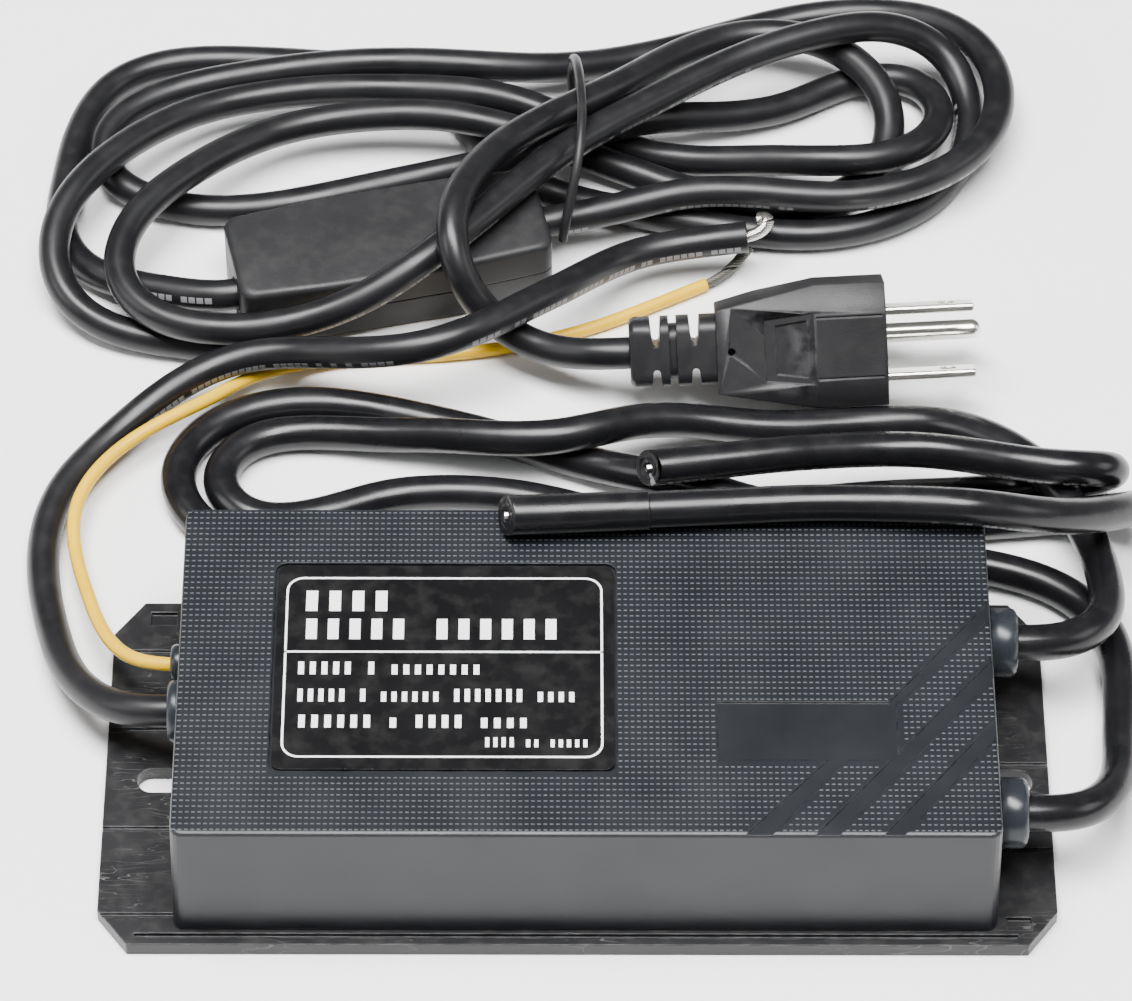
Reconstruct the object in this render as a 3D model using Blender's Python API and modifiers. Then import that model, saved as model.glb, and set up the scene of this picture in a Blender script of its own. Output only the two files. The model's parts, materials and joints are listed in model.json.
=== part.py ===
"""Electronic high-voltage power supply for a gas-filled sign tube, with its leads.

A plastic housing stands on a flat metal base plate. Two high-voltage cables leave
its right end, an input lead and a ground wire leave its left end, and a separate
power cord with a moulded plug and an in-line rocker switch lies tied up behind it.

Sizes below are in millimetres and degrees; MM turns them into Blender's metres.
The origin is the middle of the base plate's underside, +X points to the
high-voltage end, +Y to the rear and +Z up.
"""

from math import cos, pi, radians, sin

import bmesh
import bpy
from mathutils import Matrix, Vector

MM = 0.001
GAP = 0.3

# Base plate
PLATE_HALF = (86.3, 39.2)
PLATE_THICK = 3.0
PLATE_CHAMFER = (5.5, 7.5)
SLOT_WIDTH = 5.4
SLOT_Y = -2.5
SLOT_LEFT = (-80.5, -71.8)
SLOT_RIGHT = (74.6, 83.3)
GROOVE_DEPTH = 0.5
GROOVE_WIDTH = 0.9
LEFT_GROOVES_Y = (27.5, 9.2, -13.5, -32.8)
RIGHT_GROOVES_Y = (1.5, -17.9)
FRONT_GROOVE_Y = (-37.7, -36.8)
STANDOFF_RADIUS = 3.2
STANDOFF_HEIGHT = 3.9
STANDOFF_BORE = 1.7

# Housing
HOUSING_CENTRE = (1.4, 1.6)
HOUSING_TOP_HALF = (73.3, 37.3)
HOUSING_FOOT_HALF = (73.9, 37.6)
HOUSING_FOOT = 3.3
HOUSING_TOP = 31.2
WALL = 2.0
CORNER_RADIUS = 2.0
TOP_EDGE = 0.7
POST_OFFSET = (66.5, 30.5)
POST_RADIUS = 3.2
PILOT_RADIUS = 1.5
LABEL_CENTRE = (-24.0, 2.1)
LABEL_SIZE = (61.0, 46.6)
LABEL_FLOOR = 30.4
LABEL_THICK = 0.35
PANEL_LOW = (24.8, -19.0)
PANEL_HIGH = (56.9, -6.0)
RELIEF = 0.3
STRIPES = (
    ((55.6, -6.0), (57.6, -6.0), (74.5, 13.4), (74.5, 17.1)),
    ((41.7, -35.6), (45.9, -35.6), (74.5, -0.5), (74.5, 3.7)),
    ((53.8, -35.6), (57.3, -35.6), (74.5, -14.0), (74.5, -9.8)),
    ((29.4, -35.6), (34.0, -35.6), (47.9, -19.0), (44.3, -19.0)),
)

# Where the leads pass the housing's ends: (y, z)
REAR_OUTPUT = (19.0, 17.0)
FRONT_OUTPUT = (-20.0, 17.0)
INPUT_PORT = (3.7, 15.6)
GROUND_PORT = (15.35, 14.6)

# Inside
BOARD_LOW = (-59.6, -30.4)
BOARD_HIGH = (62.4, 33.6)
BOARD_FOOT = 7.5
BOARD_THICK = 1.6
BOARD_TOP = BOARD_FOOT + BOARD_THICK + GAP
BOARD_SCREWS = ((-52.0, -24.0), (55.0, 28.0))
TRANSFORMER_CENTRE = (30.0, 0.0)
CORE_LENGTH = 40.0
CORE_DEPTH = 14.0
CORE_HALF_HEIGHT = 9.4
CORE_BACK = 3.5
CORE_LEG = 6.0

# Leads
CORD_RADIUS = 3.1
GROUND_RADIUS = 1.3
CABLE_RADIUS = 3.4
SLEEVE_RADIUS = 3.7
SLEEVE_LENGTH = 26.0
CORE_SHOW = 9.0
CORE_RADIUS = 0.75
CORE_PROUD = 0.4
ROUTE_SAG = 0.16
ROUTE_STRIDE = 15.0

# In-line switch, measured from its own centre on the floor
SWITCH_CENTRE = (-36.8, 123.0, 0.0)
SWITCH_TURN = 13.0
SWITCH_HALF = 31.0
SWITCH_END_HALF = 11.0
SWITCH_MIDDLE_HALF = 12.0
SWITCH_FOOT = 0.3
SWITCH_SEAM = 7.75
SWITCH_TOP = 15.2
SWITCH_WALL = 2.0
ROCKER_AXIS_Z = 6.2
ROCKER_TILT = 10.0
WELL_HALF = (8.2, 4.6)
SWITCH_SCREW_X = 18.0

# Plug, measured from the point of its face midway between the blades: its own +X runs
# along the blades, +Y from blade to blade and +Z away from the ground pin
PLUG_FACE = (59.4, 93.2, 16.4)
PLUG_TURN = (50.0, -2.5, 1.8)
PLUG_LENGTH = 32.6
PLUG_SHOULDER = 13.4
PLUG_WIDTH = 24.0
PLUG_NECK_WIDTH = 16.2
PLUG_FLAT_WIDTH = 13.0
PLUG_LEVELS = (-15.5, -9.0, 1.5, 4.5)
PLUG_NECK_LEVELS = (-9.3, 3.2)
RELIEF_START = -48.6
RELIEF_LEVEL = -3.0
RELIEF_SECTION = (13.0, 10.5)
BLADE_SPACING = 12.7
BLADE_SIZE = (16.9, 1.5, 6.35)
BLADE_HOLE_X = 11.6
BLADE_HOLE_RADIUS = 1.6
PIN_LEVEL = -11.9
PIN_RADIUS = 1.9
PIN_LENGTH = 19.0
BLADE_ROOT = 3.0

# Routes of the leads, as the points that their smooth curves follow
POWER_CORD_PLUG_SIDE = (
    (10.3, 94, 12.2), (4, 93.8, 11.9), (-5.5, 97.4, 8.4), (-15.5, 103.6, 8.8), (-23, 106, 20.4),
    (-25, 116, 26.6), (-21, 130.5, 24), (-13.5, 142.5, 21), (-3, 152, 18.8), (8, 160.5, 16.6),
    (17, 171, 13.2), (27, 180.5, 9.8), (41, 184, 9.4), (54.5, 178, 10.2), (63.5, 166.5, 8.4),
    (63, 153.5, 3.8), (53.5, 143, 3.2), (39.5, 139.5, 3.2), (26, 142.5, 3.8), (13, 148, 4.4),
    (0.5, 153.5, 5.2), (-12.5, 157, 8.8), (-26.5, 158.5, 11.2), (-40.5, 159.5, 9.8),
    (-55.5, 158, 8.8), (-67.5, 151, 10), (-77.5, 140.5, 12.6), (-87.5, 129.5, 12.8),
    (-91, 115, 10.6), (-81.5, 103.5, 9.8), (-66.5, 101, 10), (-52.5, 102.4, 11.4),
    (-39.5, 105.4, 15.6), (-27.5, 112.4, 20.6), (-17.5, 124.5, 19.4), (-8.5, 135.5, 19),
    (1, 146, 17.6), (12, 154.5, 17), (23.5, 163, 16.6), (35.5, 170.5, 16.6), (48.5, 175.5, 17.2),
    (62.5, 180.5, 15.4), (75, 180, 8.8), (80.5, 167.5, 4), (78, 152.5, 3.2), (69.5, 140.5, 3.2),
    (56.5, 134, 3.2), (42.5, 132.5, 3.2), (28.5, 135, 3.2), (14.5, 138.5, 3.2),
    (0.5, 141.5, 3.2), (-12.5, 148, 3.2), (-20, 160, 3.2), (-27, 172, 3.2), (-39.5, 178.5, 3.2),
    (-53.5, 180, 3.2), (-67.5, 181, 3.2), (-82, 181, 3.2), (-94.5, 175, 3.2), (-100, 161.5, 3.2),
    (-101.5, 147.5, 3.2), (-103, 132.5, 3.2), (-95.5, 121, 3.6), (-81.5, 116, 5.4),
    (-68.5, 111.5, 8), (-61.6, 114.7, 8),
)
POWER_CORD_SUPPLY_SIDE = (
    (-11.8, 130.3, 8), (-6.5, 132, 8), (8, 135, 8.4), (22, 138.5, 10.6), (37, 138, 10.4),
    (51.5, 136.5, 9.8), (66.5, 139.5, 10), (79, 148, 9.6), (86, 161.5, 9), (84.5, 177, 9.4),
    (75, 188, 8.2), (61.5, 194, 4.6), (47, 194, 3.2), (32.5, 189, 3.2), (19, 183.5, 3.2),
    (5.5, 178.5, 4.6), (-8.5, 174, 8), (-23, 173.5, 10), (-37.5, 174.5, 9.6), (-52, 174.5, 8.4),
    (-66.5, 173, 7), (-81, 170, 6.4), (-94.5, 161, 6.4), (-95, 147, 4), (-80.5, 139.5, 3.2),
    (-65.5, 139, 3.2), (-51.5, 142, 3.6), (-37, 146, 4), (-23, 148, 6), (-9, 147, 11.4),
    (4, 153, 12.8), (16.5, 160.5, 8.6), (30, 163.5, 4.8), (43.5, 167.5, 3.2), (56, 177, 3.2),
    (70.5, 176, 3.8), (75, 160, 7.2), (65, 147.5, 10.2), (50, 146.5, 10.2), (36.5, 150.5, 6.6),
    (22.5, 152, 3.8), (8.5, 156.5, 3.2), (-4, 163.5, 6), (-17.5, 166, 9.8), (-32.5, 166.5, 9.8),
    (-47, 168, 8.6), (-62, 167, 7.8), (-76, 162.5, 8.4), (-87, 153, 10.6), (-97, 141.5, 11.6),
    (-103.5, 128.5, 10), (-101.5, 113.5, 6.6), (-90, 106, 3.4), (-75, 104, 3.2),
    (-60.5, 101.5, 3.2),
)
INPUT_LEAD = (
    (-60, 3.5, 16), (-71, 3.5, 16), (-82.5, 4.5, 14.4), (-90, 12, 10), (-95, 21.5, 6),
    (-98, 32.5, 4), (-100.5, 44, 3.2), (-101, 55.5, 3.2), (-98.5, 67, 3.2), (-92, 76.5, 3.2),
    (-84, 84.5, 5.2), (-75, 91, 8.2), (-64, 96, 9.4), (-52.5, 95, 11.2), (-41.5, 91, 15.2),
    (-29.5, 90, 17.8), (-18.5, 95, 18), (-10, 102.5, 16.2), (-2, 110, 13.6), (4.5, 118, 10),
    (12.5, 124.5, 7.8), (23, 126, 8.6), (33.5, 126.5, 9.8),
)
GROUND_WIRE = (
    (-60, 15, 15), (-71, 15, 15), (-82.5, 16.5, 13.4), (-88.5, 27.5, 9.8), (-91.5, 38.5, 6.8),
    (-95, 50, 6), (-95.5, 62, 5.8), (-90, 73, 5.6), (-80.5, 80, 7.4), (-70.5, 86, 7.4),
    (-63.5, 94.5, 4.4), (-53.5, 100, 2.4), (-41.5, 102, 1.6), (-30, 102.5, 1.3),
    (-18, 104, 1.3), (-6.5, 106.5, 1.3), (4.5, 110.5, 1.3), (15, 116, 1.3), (25.5, 121.5, 1.4),
)
GROUND_STRANDS = ((25.8, 121.65, 1.4), (29.5, 123.9, 1.6), (33, 126.8, 2.2))
REAR_CABLE = (
    (66, 19, 17), (78, 19, 17), (90.5, 19.5, 16), (99, 28.5, 12.6), (98.5, 41.5, 10.6),
    (95, 53.5, 10.8), (89, 65, 11.6), (80, 74, 10.4), (70.5, 81.5, 6.4), (58.5, 83.5, 4),
    (46, 81.5, 4.8), (34, 80.5, 5.6), (21.5, 81.5, 7.4), (9.5, 78.5, 10.2), (-2, 73, 11.6),
    (-14, 73.5, 10.4), (-26, 77, 7.8), (-37.5, 79, 5), (-49.5, 81.5, 3.4), (-63, 80.5, 3.4),
    (-70.5, 69, 3.4), (-62, 58, 3.4), (-48.5, 60, 3.4), (-37, 65.5, 3.4), (-24.5, 66.5, 3.4),
    (-11.5, 65.5, 3.4), (0.5, 62, 3.4), (13, 57.5, 3.4), (25.5, 58.5, 3.4), (38, 62.5, 3.4),
    (50.5, 64.5, 3.4), (63.5, 65.5, 3.4), (76, 66, 3.4), (89, 68, 3.4), (102.5, 67.5, 8.2),
    (101, 60.5, 17.6), (87, 59.5, 19), (75.5, 65.5, 15.4), (63.5, 69, 13.4), (51, 67.5, 14.6),
    (39, 64.5, 17), (26, 62, 17.6), (13.5, 60, 18),
)
FRONT_CABLE = (
    (66, -20, 17), (78, -20, 17), (91.5, -19.6, 15.8), (99, -8, 9.8), (99.5, 5.5, 6),
    (101, 19.5, 4.4), (100, 33.5, 3.8), (90.5, 44, 3.4), (77, 48.5, 3.4), (63, 50.5, 3.4),
    (49, 50.5, 3.4), (35.5, 50.5, 3.4), (21.5, 50.5, 3.4), (7.5, 50, 3.4), (-6, 49.5, 3.4),
    (-20, 49, 3.4), (-33.5, 48.5, 3.4), (-47, 48.5, 3.4), (-60.5, 51, 3.4), (-73, 58, 3.4),
    (-78, 71.5, 3.4), (-70.5, 84, 3.4), (-56.5, 89, 3.4), (-43, 88, 3.4), (-29.5, 84.5, 3.4),
    (-16.5, 80.5, 3.4), (-3.5, 75.5, 3.4), (9, 70.5, 4.6), (20, 64, 9.8), (32, 57, 11.2),
    (45.5, 57, 7.2), (59.5, 58, 4.2), (73.5, 58.5, 3.4), (87.5, 60, 3.4), (103.5, 60.5, 5.2),
    (106.5, 54, 14.4), (96, 44.5, 22.6), (85, 37.5, 31), (73, 34.8, 37.2), (57, 37, 35.2),
    (43, 37.5, 35), (29, 36.5, 35), (15, 35.5, 35.2), (1, 34.5, 35.4), (-13, 33.5, 35.8),
)
TIE_RADIUS = 0.95
TIE_ROUTE = (
    (-2.6, 126.8, 8.6), (-2.2, 127.4, 12.2), (-1.0, 131.0, 16.6), (0.2, 135.0, 21.2),
    (1.0, 141.0, 24.2), (1.2, 148.0, 24.6), (0.8, 155.0, 24.6), (0.2, 161.5, 22.6),
    (-0.4, 167.0, 18.8), (-0.8, 170.2, 14.0), (-0.8, 170.0, 9.0), (-0.8, 169.0, 4.0),
)

# Finishes: base colour, roughness, metallic
FINISHES = {
    "housing_plastic": ((0.026, 0.029, 0.035), 0.50, 0.0),
    "base_metal": ((0.018, 0.018, 0.020), 0.38, 0.6),
    "label_film": ((0.045, 0.048, 0.055), 0.35, 0.0),
    "bushing_plastic": ((0.045, 0.055, 0.068), 0.28, 0.0),
    "cable_jacket": ((0.012, 0.012, 0.013), 0.32, 0.0),
    "ground_jacket": ((0.86, 0.55, 0.02), 0.38, 0.0),
    "moulded_black": ((0.020, 0.020, 0.021), 0.55, 0.0),
    "blade_nickel": ((0.72, 0.70, 0.66), 0.22, 1.0),
    "tinned_wire": ((0.55, 0.53, 0.50), 0.35, 1.0),
    "screw_steel": ((0.50, 0.50, 0.52), 0.32, 1.0),
    "contact_brass": ((0.72, 0.52, 0.20), 0.30, 1.0),
    "board_laminate": ((0.05, 0.16, 0.07), 0.45, 0.0),
    "ferrite": ((0.045, 0.043, 0.045), 0.70, 0.0),
    "bobbin_plastic": ((0.10, 0.09, 0.08), 0.50, 0.0),
    "winding_copper": ((0.58, 0.23, 0.10), 0.38, 1.0),
    "fin_aluminium": ((0.62, 0.63, 0.65), 0.40, 1.0),
    "component_epoxy": ((0.020, 0.020, 0.022), 0.60, 0.0),
    "capacitor_sleeve": ((0.05, 0.08, 0.20), 0.40, 0.0),
    "film_epoxy": ((0.45, 0.10, 0.05), 0.40, 0.0),
    "fuse_glass": ((0.75, 0.80, 0.80), 0.10, 0.0),
    "terminal_green": ((0.03, 0.25, 0.10), 0.45, 0.0),
}

# Turns that lay a shape's own +Z along another axis
ALONG_X = (0, 90, 0)
ALONG_Y = (-90, 0, 0)
ALONG_Z = (0, 0, 0)
FACING_FRONT = (90, 0, 0)

PARTS = bpy.data.collections.new("sign_power_supply")
CUTTERS = bpy.data.collections.new("cutters")


def clear_scene():
    """Empty the scene and give it the two collections."""
    for obj in list(bpy.data.objects):
        bpy.data.objects.remove(obj)
    for collection in (PARTS, CUTTERS):
        bpy.context.scene.collection.children.link(collection)


def finish(name):
    """The material of that name, made on first use."""
    material = bpy.data.materials.get(name)
    if material is None:
        colour, roughness, metallic = FINISHES[name]
        material = bpy.data.materials.new(name)
        material.use_nodes = True
        shader = material.node_tree.nodes["Principled BSDF"]
        shader.inputs["Base Color"].default_value = (*colour, 1.0)
        shader.inputs["Roughness"].default_value = roughness
        shader.inputs["Metallic"].default_value = metallic
        material.diffuse_color = (*colour, 1.0)
    return material


def add(name, data, surface, at=(0, 0, 0), turn=ALONG_Z, parent=None):
    """An object for a mesh or a curve, placed in millimetres and degrees."""
    obj = bpy.data.objects.new(name, data)
    PARTS.objects.link(obj)
    obj.location = Vector(at) * MM
    obj.rotation_euler = [radians(angle) for angle in turn]
    obj.parent = parent
    data.materials.append(finish(surface))
    return obj


def mesh_from(name, shape):
    """A mesh made from a bmesh, which is freed."""
    mesh = bpy.data.meshes.new(name)
    shape.to_mesh(mesh)
    shape.free()
    return mesh


def smooth(obj, angle=35):
    """Shade a round piece smooth up to the given edge angle."""
    obj.data.shade_smooth()
    obj.data.set_sharp_from_angle(angle=radians(angle))
    return obj


def soften(obj, width, segments=2):
    """Round an object's edges."""
    bevel = obj.modifiers.new("rounding", "BEVEL")
    bevel.width = width * MM
    bevel.segments = segments
    bevel.limit_method = "ANGLE"
    bevel.angle_limit = radians(30)
    return obj


def box(name, low, high, surface, **place):
    """A box between two corners."""
    low = Vector(low)
    high = Vector(high)
    shape = bmesh.new()
    scale = Matrix.Diagonal((*((high - low) * MM), 1))
    bmesh.ops.create_cube(shape, size=1, matrix=scale)
    return add(name, mesh_from(name, shape), surface, at=(low + high) / 2, **place)


def rod(name, foot, radius, length, surface, sides=24, **place):
    """A cylinder that stands on its foot point, along its own +Z."""
    shape = bmesh.new()
    bmesh.ops.create_cone(
        shape,
        cap_ends=True,
        segments=sides,
        radius1=radius * MM,
        radius2=radius * MM,
        depth=length * MM,
        matrix=Matrix.Translation((0, 0, length * MM / 2)),
    )
    return smooth(add(name, mesh_from(name, shape), surface, at=foot, **place))


def turned(name, profile, surface, closed=False, steps=24, **place):
    """A turned piece: its profile runs down the outer side, top to bottom."""
    mesh = bpy.data.meshes.new(name)
    points = [(radius * MM, 0, height * MM) for radius, height in profile]
    edges = [(i, i + 1) for i in range(len(points) - 1)]
    if closed:
        edges.append((len(points) - 1, 0))
    mesh.from_pydata(points, edges, [])
    obj = add(name, mesh, surface, **place)
    screw = obj.modifiers.new("turning", "SCREW")
    screw.steps = steps
    screw.render_steps = steps
    screw.use_merge_vertices = True
    screw.merge_threshold = 0.00001
    screw.use_smooth_shade = False
    return obj


def mesh_of_curve(name, curve):
    """The closed mesh that a curve makes, with its caps welded."""
    guide = bpy.data.objects.new(name + "_guide", curve)
    PARTS.objects.link(guide)
    graph = bpy.context.evaluated_depsgraph_get()
    mesh = bpy.data.meshes.new_from_object(guide.evaluated_get(graph))
    bpy.data.objects.remove(guide)
    bpy.data.curves.remove(curve)
    shape = bmesh.new()
    shape.from_mesh(mesh)
    bmesh.ops.remove_doubles(shape, verts=shape.verts, dist=0.000001)
    bmesh.ops.recalc_face_normals(shape, faces=shape.faces)
    shape.to_mesh(mesh)
    shape.free()
    mesh.materials.clear()
    mesh.name = name
    return mesh


def extruded(name, outline, thickness, surface, **place):
    """A flat outline given a thickness along its own +Z."""
    curve = bpy.data.curves.new(name, "CURVE")
    curve.dimensions = "2D"
    curve.fill_mode = "BOTH"
    curve.extrude = thickness * MM / 2
    spline = curve.splines.new("POLY")
    spline.points.add(len(outline) - 1)
    for point, (x, y) in zip(spline.points, outline):
        point.co = (x * MM, y * MM, 0, 1)
    spline.use_cyclic_u = True
    mesh = mesh_of_curve(name, curve)
    mesh.transform(Matrix.Translation((0, 0, thickness * MM / 2)))
    return add(name, mesh, surface, **place)


def tube_curve(name, points, radius, sides_per_quarter=2):
    """A round tube along the points, as curve data with filled caps."""
    curve = bpy.data.curves.new(name, "CURVE")
    curve.dimensions = "3D"
    curve.bevel_depth = radius * MM
    curve.bevel_resolution = sides_per_quarter
    curve.use_fill_caps = True
    spline = curve.splines.new("POLY")
    spline.points.add(len(points) - 1)
    for point, place in zip(spline.points, points):
        point.co = (*(Vector(place) * MM), 1)
    return curve


def tube(name, points, radius, surface, **place):
    """A free lead: a curve object."""
    return add(name, tube_curve(name, points, radius), surface, **place)


def tube_mesh(name, points, radius, surface, **place):
    """The same tube as a mesh, which can be cut or can cut."""
    mesh = mesh_of_curve(name, tube_curve(name, points, radius))
    return add(name, mesh, surface, **place)


def combine(target, others, operation):
    """Cut the others from the target, or join them to it."""
    for other in others:
        PARTS.objects.unlink(other)
        CUTTERS.objects.link(other)
        other.hide_render = True
        other.display_type = "WIRE"
        change = target.modifiers.new(other.name, "BOOLEAN")
        change.operation = operation
        change.solver = "EXACT"
        change.object = other
    return target


def cut(target, *others):
    """Remove the others' space from the target."""
    return combine(target, others, "DIFFERENCE")


def join(target, *others):
    """Make the others one body with the target."""
    return combine(target, others, "UNION")


def rounded_rectangle(centre, size, radius, steps=3):
    """Outline points of a rectangle with round corners, anticlockwise."""
    half_x = size[0] / 2 - radius
    half_y = size[1] / 2 - radius
    corners = ((half_x, half_y), (-half_x, half_y), (-half_x, -half_y), (half_x, -half_y))
    points = []
    for quarter, (x, y) in enumerate(corners):
        for step in range(steps + 1):
            angle = pi / 2 * (quarter + step / steps)
            across = centre[0] + x + radius * cos(angle)
            points.append((across, centre[1] + y + radius * sin(angle)))
    return points


def smooth_route(controls, steps=24):
    """Close points on the cubic B-spline that starts and ends at the end controls."""
    knots = [Vector(point) for point in controls]
    knots.insert(0, 2 * knots[0] - knots[1])
    knots.append(2 * knots[-1] - knots[-2])
    points = []
    for i in range(len(knots) - 3):
        for step in range(steps):
            u = step / steps
            weights = (
                (1 - u) ** 3 / 6,
                (3 * u**3 - 6 * u**2 + 4) / 6,
                (-3 * u**3 + 3 * u**2 + 3 * u + 1) / 6,
                u**3 / 6,
            )
            total = Vector((0, 0, 0))
            for weight, knot in zip(weights, knots[i : i + 4]):
                total += weight * knot
            points.append(total)
    points.append(knots[-2])
    return points


def offset_from_chord(point, start, end):
    """How far a point lies from the straight line between two others."""
    along = end - start
    return (point - start).cross(along).length / along.length


def thinned(points, sag=ROUTE_SAG, stride=ROUTE_STRIDE):
    """The points that a tube needs: far apart on straight runs, near on bends."""
    kept = [points[0]]
    start = 0
    for end in range(2, len(points)):
        chord = (points[end] - points[start]).length
        middle = points[start + 1 : end]
        bulge = max(offset_from_chord(point, points[start], points[end]) for point in middle)
        if chord > stride or bulge > sag:
            start = end - 1
            kept.append(points[start])
    kept.append(points[-1])
    return kept


def split_route(points, tail):
    """The points before and after the place that lies a length from the end."""
    left = tail
    for i in range(len(points) - 1, 0, -1):
        step = (points[i] - points[i - 1]).length
        if step >= left:
            place = points[i].lerp(points[i - 1], left / step)
            return points[:i] + [place], [place] + points[i:]
        left -= step
    return points[:1], points


def screw(name, at, head, shank, surface, **place):
    """A pan-head screw with its head's seat at the given point, shank downwards.

    head and shank are (radius, length).
    """
    profile = (
        (0, head[1]),
        (head[0] * 0.75, head[1]),
        (head[0], head[1] * 0.6),
        (head[0], 0),
        (shank[0], 0),
        (shank[0], -shank[1] + 0.6),
        (shank[0] * 0.5, -shank[1]),
        (0, -shank[1]),
    )
    return turned(name, profile, surface, steps=16, at=at, **place)


def build_base_plate():
    """The flat plate with its fixing slots, grooves and screw seats."""
    half_x, half_y = PLATE_HALF
    cut_x, cut_y = PLATE_CHAMFER
    outline = []
    for sign_x, sign_y in ((1, 1), (-1, 1), (-1, -1), (1, -1)):
        corner = [
            (sign_x * half_x, sign_y * (half_y - cut_y)),
            (sign_x * (half_x - cut_x), sign_y * half_y),
        ]
        outline += corner if sign_x * sign_y > 0 else corner[::-1]
    plate = extruded("base_plate", outline, PLATE_THICK, "base_metal")
    for i, (low, high) in enumerate((SLOT_LEFT, SLOT_RIGHT)):
        centre = ((low + high) / 2, SLOT_Y)
        round_slot = rounded_rectangle(centre, (high - low, SLOT_WIDTH), SLOT_WIDTH / 2 - 0.01, 6)
        cut(plate, extruded(f"slot_{i}", round_slot, 8, "base_metal", at=(0, 0, -2)))
    floor = PLATE_THICK - GROOVE_DEPTH
    inner_left = HOUSING_CENTRE[0] - HOUSING_FOOT_HALF[0] + 1
    inner_right = HOUSING_CENTRE[0] + HOUSING_FOOT_HALF[0] - 1
    grooves = [(-90, inner_left, y) for y in LEFT_GROOVES_Y]
    grooves += [(inner_right, 90, y) for y in RIGHT_GROOVES_Y]
    for i, (x_low, x_high, y) in enumerate(grooves):
        low = (x_low, y - GROOVE_WIDTH / 2, floor)
        high = (x_high, y + GROOVE_WIDTH / 2, 5)
        cut(plate, box(f"groove_{i}", low, high, "base_metal"))
    pockets = (
        ((-79.5, FRONT_GROOVE_Y[0], PLATE_THICK - 0.8), (79.0, FRONT_GROOVE_Y[1], 5)),
        ((-79.6, 34.0, PLATE_THICK - 0.8), (-74.7, 37.0, 5)),
        ((77.0, -35.8, PLATE_THICK - 0.8), (81.5, -33.0, 5)),
    )
    for i, (low, high) in enumerate(pockets):
        cut(plate, box(f"pocket_{i}", low, high, "base_metal"))
    for i, (x, y) in enumerate(housing_posts()):
        cut(plate, rod(f"screw_seat_{i}", (x, y, -1), 3.2, 2.9, "base_metal"))
        cut(plate, rod(f"screw_hole_{i}", (x, y, 1), 1.6, 6, "base_metal", sides=16))
    return plate


def housing_posts():
    """The places of the four corner screws."""
    return [
        (HOUSING_CENTRE[0] + sign_x * POST_OFFSET[0], HOUSING_CENTRE[1] + sign_y * POST_OFFSET[1])
        for sign_x in (-1, 1)
        for sign_y in (-1, 1)
    ]


def tapered_box(name, foot_half, top_half, foot, top, surface):
    """A box about the housing's centre whose top is a little smaller than its foot."""
    shape = bmesh.new()
    bmesh.ops.create_cube(shape, size=2)
    for vert in shape.verts:
        half = top_half if vert.co.z > 0 else foot_half
        height = top if vert.co.z > 0 else foot
        vert.co = Vector((vert.co.x * half[0], vert.co.y * half[1], height)) * MM
    return add(name, mesh_from(name, shape), surface, at=(*HOUSING_CENTRE, 0))


def build_housing():
    """The cover: a drafted shell with corner posts, ports, label recess and stripes."""
    cover = tapered_box(
        "housing", HOUSING_FOOT_HALF, HOUSING_TOP_HALF, HOUSING_FOOT, HOUSING_TOP, "housing_plastic"
    )
    shape = bmesh.new()
    shape.from_mesh(cover.data)
    middle = (HOUSING_FOOT + HOUSING_TOP) / 2 * MM
    upright = [e for e in shape.edges if abs(e.verts[0].co.z - e.verts[1].co.z) > middle / 2]
    bmesh.ops.bevel(
        shape, geom=upright, offset=CORNER_RADIUS * MM, segments=4, profile=0.5, affect="EDGES"
    )
    rim = [e for e in shape.edges if min(v.co.z for v in e.verts) > middle]
    bmesh.ops.bevel(shape, geom=rim, offset=TOP_EDGE * MM, segments=2, profile=0.5, affect="EDGES")
    shape.to_mesh(cover.data)
    shape.free()
    inner_foot = [size - WALL for size in HOUSING_FOOT_HALF]
    inner_top = [size - WALL for size in HOUSING_TOP_HALF]
    hollow = tapered_box("hollow", inner_foot, inner_top, 0.3, HOUSING_TOP - WALL, "housing_plastic")
    cut(cover, hollow)
    for i, (x, y) in enumerate(housing_posts()):
        length = HOUSING_TOP - 1 - HOUSING_FOOT
        post = rod(f"post_{i}", (x, y, HOUSING_FOOT), POST_RADIUS, length, "housing_plastic")
        pilot = rod(f"pilot_{i}", (x, y, 2), PILOT_RADIUS, 14, "housing_plastic", sides=16)
        join(cover, post)
        cut(cover, pilot)
    ports = (
        (60, REAR_OUTPUT, 5.0),
        (60, FRONT_OUTPUT, 5.0),
        (-80, INPUT_PORT, 4.8),
        (-80, GROUND_PORT, 2.9),
    )
    for i, (x, (y, z), radius) in enumerate(ports):
        cut(cover, rod(f"port_{i}", (x, y, z), radius, 20, "housing_plastic", turn=ALONG_X))
    recess = rounded_rectangle(LABEL_CENTRE, [size + 1 for size in LABEL_SIZE], 2.0)
    cut(cover, extruded("label_recess", recess, 4, "housing_plastic", at=(0, 0, LABEL_FLOOR)))
    low = (*PANEL_LOW, HOUSING_TOP - RELIEF)
    high = (*PANEL_HIGH, HOUSING_TOP + 2)
    cut(cover, box("smooth_panel", low, high, "housing_plastic"))
    for i, outline in enumerate(STRIPES):
        foot = (0, 0, HOUSING_TOP - RELIEF)
        cut(cover, extruded(f"stripe_{i}", outline, 4, "housing_plastic", at=foot))
    for i, (x, y) in enumerate(housing_posts()):
        head_up = (180, 0, 0)
        screw(f"housing_screw_{i + 1}", (x, y, 1.6), (2.8, 1.3), (1.2, 11.0), "screw_steel", turn=head_up)


def build_label():
    """The rating label in its recess."""
    outline = rounded_rectangle(LABEL_CENTRE, LABEL_SIZE, 1.6)
    extruded("rating_label", outline, LABEL_THICK, "label_film", at=(0, 0, LABEL_FLOOR + GAP))


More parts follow.
